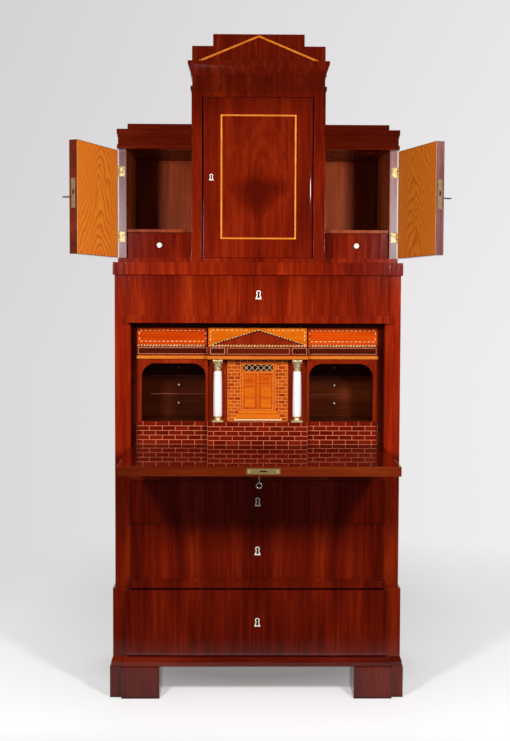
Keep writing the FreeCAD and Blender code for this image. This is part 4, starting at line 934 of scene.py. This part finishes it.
CAPITAL_HEIGHT, BASE_HEIGHT = 36.0, 20.0
COLUMN_X, COLUMN_Y = 131.5, 60.0
SHAFT = [(12.4, 0), (13.8, 0.8), (14.3, 2.4), (14.5, 30), (14.45, 60), (14.2, 90), (13.7, 120), (13.1, 144),
         (12.8, 149), (11.8, 150.4), (10.6, 151)]
BASE_BLOCK_HALF, BASE_BLOCK_HIGH = 19.0, 4.2
BASE = [(16.6, 4.2), (17.0, 5.4), (16.4, 6.8), (12.4, 7.6), (9.2, 9.4), (8.4, 12.2), (9.0, 14.2),
        (11.2, 15.2), (12.0, 16.6), (11.2, 18.2), (10.4, 18.6), (10.4, BASE_HEIGHT)]
BELL = [(9.0, 0), (9.0, 1.2), (10.6, 1.8), (11.0, 2.8), (10.6, 3.8), (8.6, 4.4), (8.6, 12), (9.6, 20),
        (11.6, 26), (14.0, 29.5)]
LOWER_LEAF = [(8.6, 4.4), (9.6, 8.0), (10.6, 12.0), (12.4, 15.0), (14.4, 15.6), (14.8, 14.0)]
UPPER_LEAF = [(8.8, 10.0), (9.8, 15.0), (10.8, 20.0), (12.8, 23.6), (15.0, 24.4), (15.4, 22.6)]
LEAF_HALVES = [2.2, 3.0, 3.4, 3.0, 2.0, 0.6]
STEM = [(9.6, 17.0), (11.0, 22.0), (13.6, 26.4)]


def leaf(form, angle, path, place):
    """A folded leaf that follows a path of (radius, level) points outwards."""
    thick = 1.1
    turn = Matrix.Rotation(angle, 4, "Z")
    rings = []
    for (radius, level), half in zip(path, LEAF_HALVES):
        corners = ((0, -half), (thick, 0), (0, half), (-thick / 2, 0))
        rings.append([turn @ Vector((radius + out, across, level)) for out, across in corners])
    form.loft(rings, 0, place)


def capital(form, place):
    """A leafy capital: neck, two tiers of leaves, corner scrolls and a hollow-sided slab."""
    form.turned(BELL, 32, 0, place)
    count = 8
    for index in range(count):
        leaf(form, 2 * math.pi * index / count, LOWER_LEAF, place)
        leaf(form, 2 * math.pi * (index + 0.5) / count, UPPER_LEAF, place)
    curl, curl_out, curl_level, curl_radius, tighter, wire = [], 16.8, 25.6, 3.4, 0.24, 0.95
    for step in range(12):
        angle, radius = math.radians(45 + 45 * step), curl_radius - tighter * step
        curl.append((curl_out - radius * math.cos(angle), curl_level + radius * math.sin(angle)))
    for corner in range(4):
        turn = Matrix.Rotation(math.pi / 4 + corner * math.pi / 2, 4, "Z")
        form.tube([turn @ Vector((radius, 0, level)) for radius, level in STEM + curl], wire, 8, place=place)
    half, corner_cut, hollow, steps = 16.6, 2.6, 2.6, 6
    slab_low, slab_middle, overhang = 29.5, 32.2, 1.05
    outline = []
    for quarter in range(4):
        turn = Matrix.Rotation(quarter * math.pi / 2, 2)
        for step in range(steps + 1):
            share = step / steps
            u = (2 * share - 1) * (half - corner_cut)
            v = -half + hollow * math.sin(math.pi * share)
            outline.append(turn @ Vector((u, v)))
    form.prism(outline, slab_low, slab_middle, 0, place)
    form.prism([point * overhang for point in outline], slab_middle, CAPITAL_HEIGHT, 0, place)


def columns():
    """Shafts with a slight swelling, leafy capitals and moulded bases."""
    shafts, capitals, bases = Form(), Form(), Form()
    capital_low, capital_high = box_mm("column_capitals")
    base_low, base_high = box_mm("column_bases")
    tall = Matrix.Diagonal((1, 1, (capital_high.z - capital_low.z) / CAPITAL_HEIGHT, 1))
    flat = Matrix.Diagonal((1, 1, (base_high.z - base_low.z) / BASE_HEIGHT, 1))
    for side, _ in SIDES:
        x = side * COLUMN_X
        shafts.turned(SHAFT, 48, 0, facing_up(x, COLUMN_Y, base_high.z))
        capital(capitals, facing_up(x, COLUMN_Y, capital_low.z) @ tall)
        place = facing_up(x, COLUMN_Y, base_low.z) @ flat
        square = (-BASE_BLOCK_HALF, BASE_BLOCK_HALF)
        bases.block(square, square, (0, BASE_BLOCK_HIGH), 0, place)
        bases.turned(BASE, 40, 0, place)
    shafts.make("alabaster_shafts", "case", "alabaster", [alabaster], replaces=("column_shafts",))
    capitals.make("leafy_capitals", "case", "brass", [gilt], replaces=("column_capitals",))
    bases.make("moulded_bases", "case", "brass", [gilt], bevel=0.3, replaces=("column_bases",))


# Fittings; the fall front stops a little below level

WING_HINGE_X, WING_HINGE_Y = 455.2, 27.75
FLAP_PIVOT_Y, FLAP_PIVOT_Z, FLAP_STOP = 16.5, 815, 1.2
FLAP_EDGE, FLAP_OUTSIDE = -399.5, 800.5


def swung(at, degrees, axis):
    """A turn about an axis through a place."""
    pivot = Matrix.Translation(at)
    return pivot @ Matrix.Rotation(math.radians(degrees), 4, axis) @ pivot.inverted()


def wing_turn(side, word):
    """From the shut place of a wing door to where it stands at rest."""
    return swung((side * WING_HINGE_X, WING_HINGE_Y, 0), side * OPEN_ANGLE[word], "Z")


def screw(form, u, v, radius, proud, place, mark=0):
    """A flat screw head with its slot, drawn as a dark bar that stands for the slot's shade: painted shade.
    """
    head = place @ Matrix.Translation((u, v, 0))
    form.turned([(radius, -0.3), (radius, proud * 0.6), (radius * 0.8, proud)], 20, mark, head)
    slot = radius * 0.16
    form.block((-radius * 0.75, radius * 0.75), (-slot, slot), (0, proud * 1.05), 1, head)


# Shares of a knob's radius and of its length
KNOB = [(0.42, 0), (0.40, 0.2), (0.55, 0.3), (0.9, 0.45), (1.0, 0.62), (0.94, 0.8), (0.74, 0.92), (0.4, 0.98),
        (0.1, 1.0)]
WING_DRAWER_FRONT = 45.0
# Radius and length along the stem of a key, with its collar
KEY = [(1.9, -13), (1.9, 19), (2.9, 20), (3.1, 21.5), (2.9, 23), (2.0, 24), (1.9, 27)]


def knob(name, body, node, front, radius, steps, thinnest=0, past=0, replaces=()):
    """A turned bone knob, from the front of a drawer to where a solid ends or a little past it."""
    low, high = box_mm(node)
    middle = (low + high) / 2
    out = front - low.y + past
    pull = Form()
    pull.turned([(radius * max(share, thinnest), out * reach) for share, reach in KNOB], steps, 0,
                facing_front(middle.x, front, middle.z))
    pull.make(name, body, "bone", [bone], replaces=replaces)


def knobs():
    """Turned bone knobs on the wing drawers and the niche drawers."""
    for _, word in SIDES:
        node = f"wing_knob_{word}"
        knob(f"bone_knob_{word}", f"wing_drawer_{word}", node, WING_DRAWER_FRONT, 9.0, 36, replaces=(node,))
        for tier in TIERS:
            drawer = f"niche_drawer_{word}_{tier}"
            knob(f"niche_knob_{word}_{tier}", drawer, drawer, NEST_FRONT, 4.4, 24, 0.55, 0.4)


def key(name, body, place):
    """A key standing out of its lock: stem, collar and an oval bow. Its node has the body's name."""
    form = Form()
    bow_half, bow_high, bow_level, wire = 8.0, 7.3, 33.7, 1.7
    form.turned(KEY, 20, 0, place)
    path = [(bow_half * u, 0, bow_level + bow_high * v) for u, v in circle(1, 28)]
    form.tube(path, wire, 12, True, place)
    form.make(name, body, "steel", [steel], replaces=(body,))


def flap_fittings():
    """The key of the fall front, and the lock plate on its edge."""
    key_y, plate_u, plate_v, plate_w = -364.5, (-37, 61), (-8.5, 8.5), (-2.5, 0.2)
    screws_u, keyway_u, keyway_v, head = (-29.5, 53.5), (2, 22), (-1.9, 1.9), (4.0, 0.42)
    down = swung((0, FLAP_PIVOT_Y, FLAP_PIVOT_Z), FLAP_STOP, "X")
    key("flap_lock_key", "flap_key", down @ facing_down(0, key_y, FLAP_OUTSIDE))
    plate = Form()
    face = down @ facing_front(0, FLAP_EDGE, FLAP_PIVOT_Z)
    plate.block(plate_u, plate_v, plate_w, 0, face)
    for u in screws_u:
        screw(plate, u, 0, *head, face, 2)
    # The keyway is a dark sheet: painted shade of the opening
    plate.block(keyway_u, keyway_v, (0, 0.3), 1, face)
    plate.make("flap_lock_plate", "flap", "brass", [brass_dull, string_dark_and_painted_shade, gilt], replaces=("flap_lock",))


def wing_fittings():
    """The keys of the wing doors, and the screws of their lock plates and hinges."""
    key_x, key_y, key_level = 243.5, -0.5, 1622.5
    lock_x, lock_y, lock_screws = 217.0, 13.5, (1593.5, 1667.5)
    bolt_u, bolt_v, keyway_u, keyway_v = (-4.6, 4.6), (1609, 1616), (-2.6, 2.6), (1626, 1641)
    hinge_x, hinge_y, fixed_x, fixed_y = 453.0, 18.0, 443.5, 28
    hinge_levels, hinge_screws, lock_head, hinge_head = (1513, 1724), (-8.5, 8.5), (3.0, 0.3), (2.7, 0.14)
    for side, word in SIDES:
        turn = wing_turn(side, word)
        key(f"wing_lock_key_{word}", f"wing_key_{word}", turn @ facing_front(side * key_x, key_y, key_level))
        free_edge = turn @ facing_side(-side, side * lock_x, lock_y, 0)
        screws = Form()
        for level in lock_screws:
            screw(screws, 0, level, *lock_head, free_edge)
        # The keyway is a dark sheet: painted shade of the opening
        screws.block(keyway_u, keyway_v, (0, 0.08), 1, free_edge)
        screws.block(bolt_u, bolt_v, (0, 0.25), 0, free_edge)
        hinge_edge = turn @ facing_side(side, side * hinge_x, hinge_y, 0)
        fixed = Form()
        for middle in hinge_levels:
            for shift in hinge_screws:
                screw(screws, 0, middle + shift, *hinge_head, hinge_edge)
                screw(fixed, side * fixed_x, middle + shift, *hinge_head, facing_front(0, fixed_y, 0))
        screws.make(f"wing_door_screws_{word}", f"wing_door_{word}", "brass", [brass, string_dark_and_painted_shade])
        fixed.make(f"hinge_screws_{word}", "case", "brass", [brass, string_dark_and_painted_shade])


def wing_veneers():
    """Golden veneer on the inner faces of the wing doors, with a light line at the free edge."""
    hinge_edge, free_edge, line, inner_face = 451.0, 219.0, 1.2, 27.5
    level, thick = (1446.5, 1790.5), (-0.2, 0.22)
    for side, word in SIDES:
        place = wing_turn(side, word) @ facing_back(0, inner_face, 0)
        sheet = Form()
        sheet.block(span(-side, hinge_edge, free_edge), level, thick, 0, place)
        sheet.block(span(-side, free_edge - line, free_edge), level, thick, 1, place)
        sheet.make(f"wing_veneer_{word}", f"wing_door_{word}", "satinwood", [ash[word], string_light])


tower_inlay()
keyhole_plates()
brick_plinth_inlay()
entablature_inlay()
temple_door_inlay()
columns()
knobs()
flap_fittings()
wing_fittings()
wing_veneers()


# Stage, light and camera

def stage_floor():
    """A pale round floor that fades into the background and keeps the shadows, with its glow weaker near the
    case as a painted shadow.
    """
    radius, steps, middle = 2.3, 96, 0.4
    mesh = bpy.data.meshes.new("floor")
    mesh.from_pydata([(x, y, 0) for x, y in circle(radius, steps)], [], [list(range(steps))])
    floor = bpy.data.objects.new("floor", mesh)
    floor.location.y = middle
    bpy.context.scene.collection.objects.link(floor)
    material = bpy.data.materials.new("pale_floor")
    mesh.materials.append(material)
    nodes = Nodes(material)
    path = nodes.node("ShaderNodeLightPath").outputs

    def by_distance(scale, centre, near, far, at_near, at_far):
        """A value that changes with the distance from a place on the floor."""
        shift = [-size * place for size, place in zip(scale, centre)]
        return nodes.spread(nodes.length(nodes.mapped(scale, shift)), near, far, at_near, at_far)

    around = by_distance((0.8, 1, 1), (0, 0, 0), 0.95, 2.2, 0.0, 1.0)
    ahead = by_distance((0, 1, 0), (0, 1.0, 0), 1.66, 2.08, 0.0, 1.0)
    # The glow is weaker near the case and stronger out to the sides: a painted shadow around the case
    glow_with_painted_shadow = nodes.maths("ADD", by_distance((2.0, 4.0, 1), (0, -0.06, 0), 0.6, 1.3, 0.21, 0.34),
                       by_distance((1, 0, 0), (0, 0, 0), 0.45, 1.0, 0.0, 0.13))
    seen = nodes.maths("MAXIMUM", path["Is Camera Ray"], path["Is Glossy Ray"])
    pale = nodes.node("ShaderNodeBsdfDiffuse", Color=(0.95, 0.945, 0.95, 1)).outputs["BSDF"]
    glow = nodes.node("ShaderNodeEmission", Strength=glow_with_painted_shadow).outputs["Emission"]
    lifted = nodes.node("ShaderNodeAddShader", pale, glow).outputs["Shader"]
    clear = nodes.node("ShaderNodeBsdfTransparent").outputs["BSDF"]
    faded = nodes.mixed(nodes.maths("MAXIMUM", around, ahead), nodes.mixed(seen, pale, lifted), clear)
    nodes.node("ShaderNodeOutputMaterial", Surface=faded)


def stage_world():
    """A pale background for the eye and for polish, and a softer fill for light."""
    world = bpy.data.worlds.new("studio")
    bpy.context.scene.world = world
    nodes = Nodes(world, "Generated")
    path = nodes.node("ShaderNodeLightPath").outputs
    toward = nodes.split()

    def glow(colour, strength):
        return nodes.node("ShaderNodeBackground", Color=(*colour, 1), Strength=strength).outputs["Background"]

    fill = glow((1, 1, 1), 0.2)
    shine = glow((1, 1, 1), nodes.spread(toward["Y"], -0.9, 0.1, 0.03, 0.7))
    backdrop = nodes.maths("MULTIPLY", nodes.spread(toward["X"], -0.24, 0.24, 0.68, 0.84),
                           nodes.spread(toward["Z"], -0.05, 0.28, 1.03, 0.96))
    back = glow((1.0, 0.98, 0.985), backdrop)
    seen = nodes.maths("MAXIMUM", path["Is Camera Ray"], path["Is Transmission Ray"])
    light = nodes.mixed(seen, nodes.mixed(path["Is Glossy Ray"], fill, shine), back)
    nodes.node("ShaderNodeOutputWorld", Surface=light)


def lamp(name, x, watts):
    """A soft light at one side in front of the case."""
    data = bpy.data.lights.new(name, "AREA")
    data.shape = "RECTANGLE"
    data.size, data.size_y = 0.22, 0.3
    data.energy = watts
    light = bpy.data.objects.new(name, data)
    at, aim = Vector((x, -1.65, 1.66)), Vector((0, 0, 1.15))
    light.location = at
    light.rotation_euler = (aim - at).to_track_quat("-Z", "Y").to_euler()
    bpy.context.scene.collection.objects.link(light)


def stage_camera():
    """The camera at the photograph's place, with a frame of 510 by 741."""
    focal_pixels, frame_height = 1068.0, 741
    yaw, pitch, roll = math.radians(0.683), math.radians(2.903), math.radians(-0.207)
    data = bpy.data.cameras.new("camera")
    data.sensor_fit = "AUTO"
    data.sensor_width = 36.0
    data.lens = focal_pixels * data.sensor_width / frame_height
    data.clip_end = 50
    camera = bpy.data.objects.new("camera", data)
    level = math.pi / 2
    camera.matrix_world = (Matrix.Translation((-0.0503, -3.4751, 1.2553)) @ Matrix.Rotation(-yaw, 4, "Z")
                           @ Matrix.Rotation(level - pitch, 4, "X") @ Matrix.Rotation(-roll, 4, "Z"))
    bpy.context.scene.collection.objects.link(camera)
    bpy.context.scene.camera = camera


stage_floor()
stage_world()
lamp("left_softbox", -0.85, 22.5)
lamp("right_softbox", 0.87, 24.0)
stage_camera()
bpy.context.scene.view_settings.view_transform = "Standard"
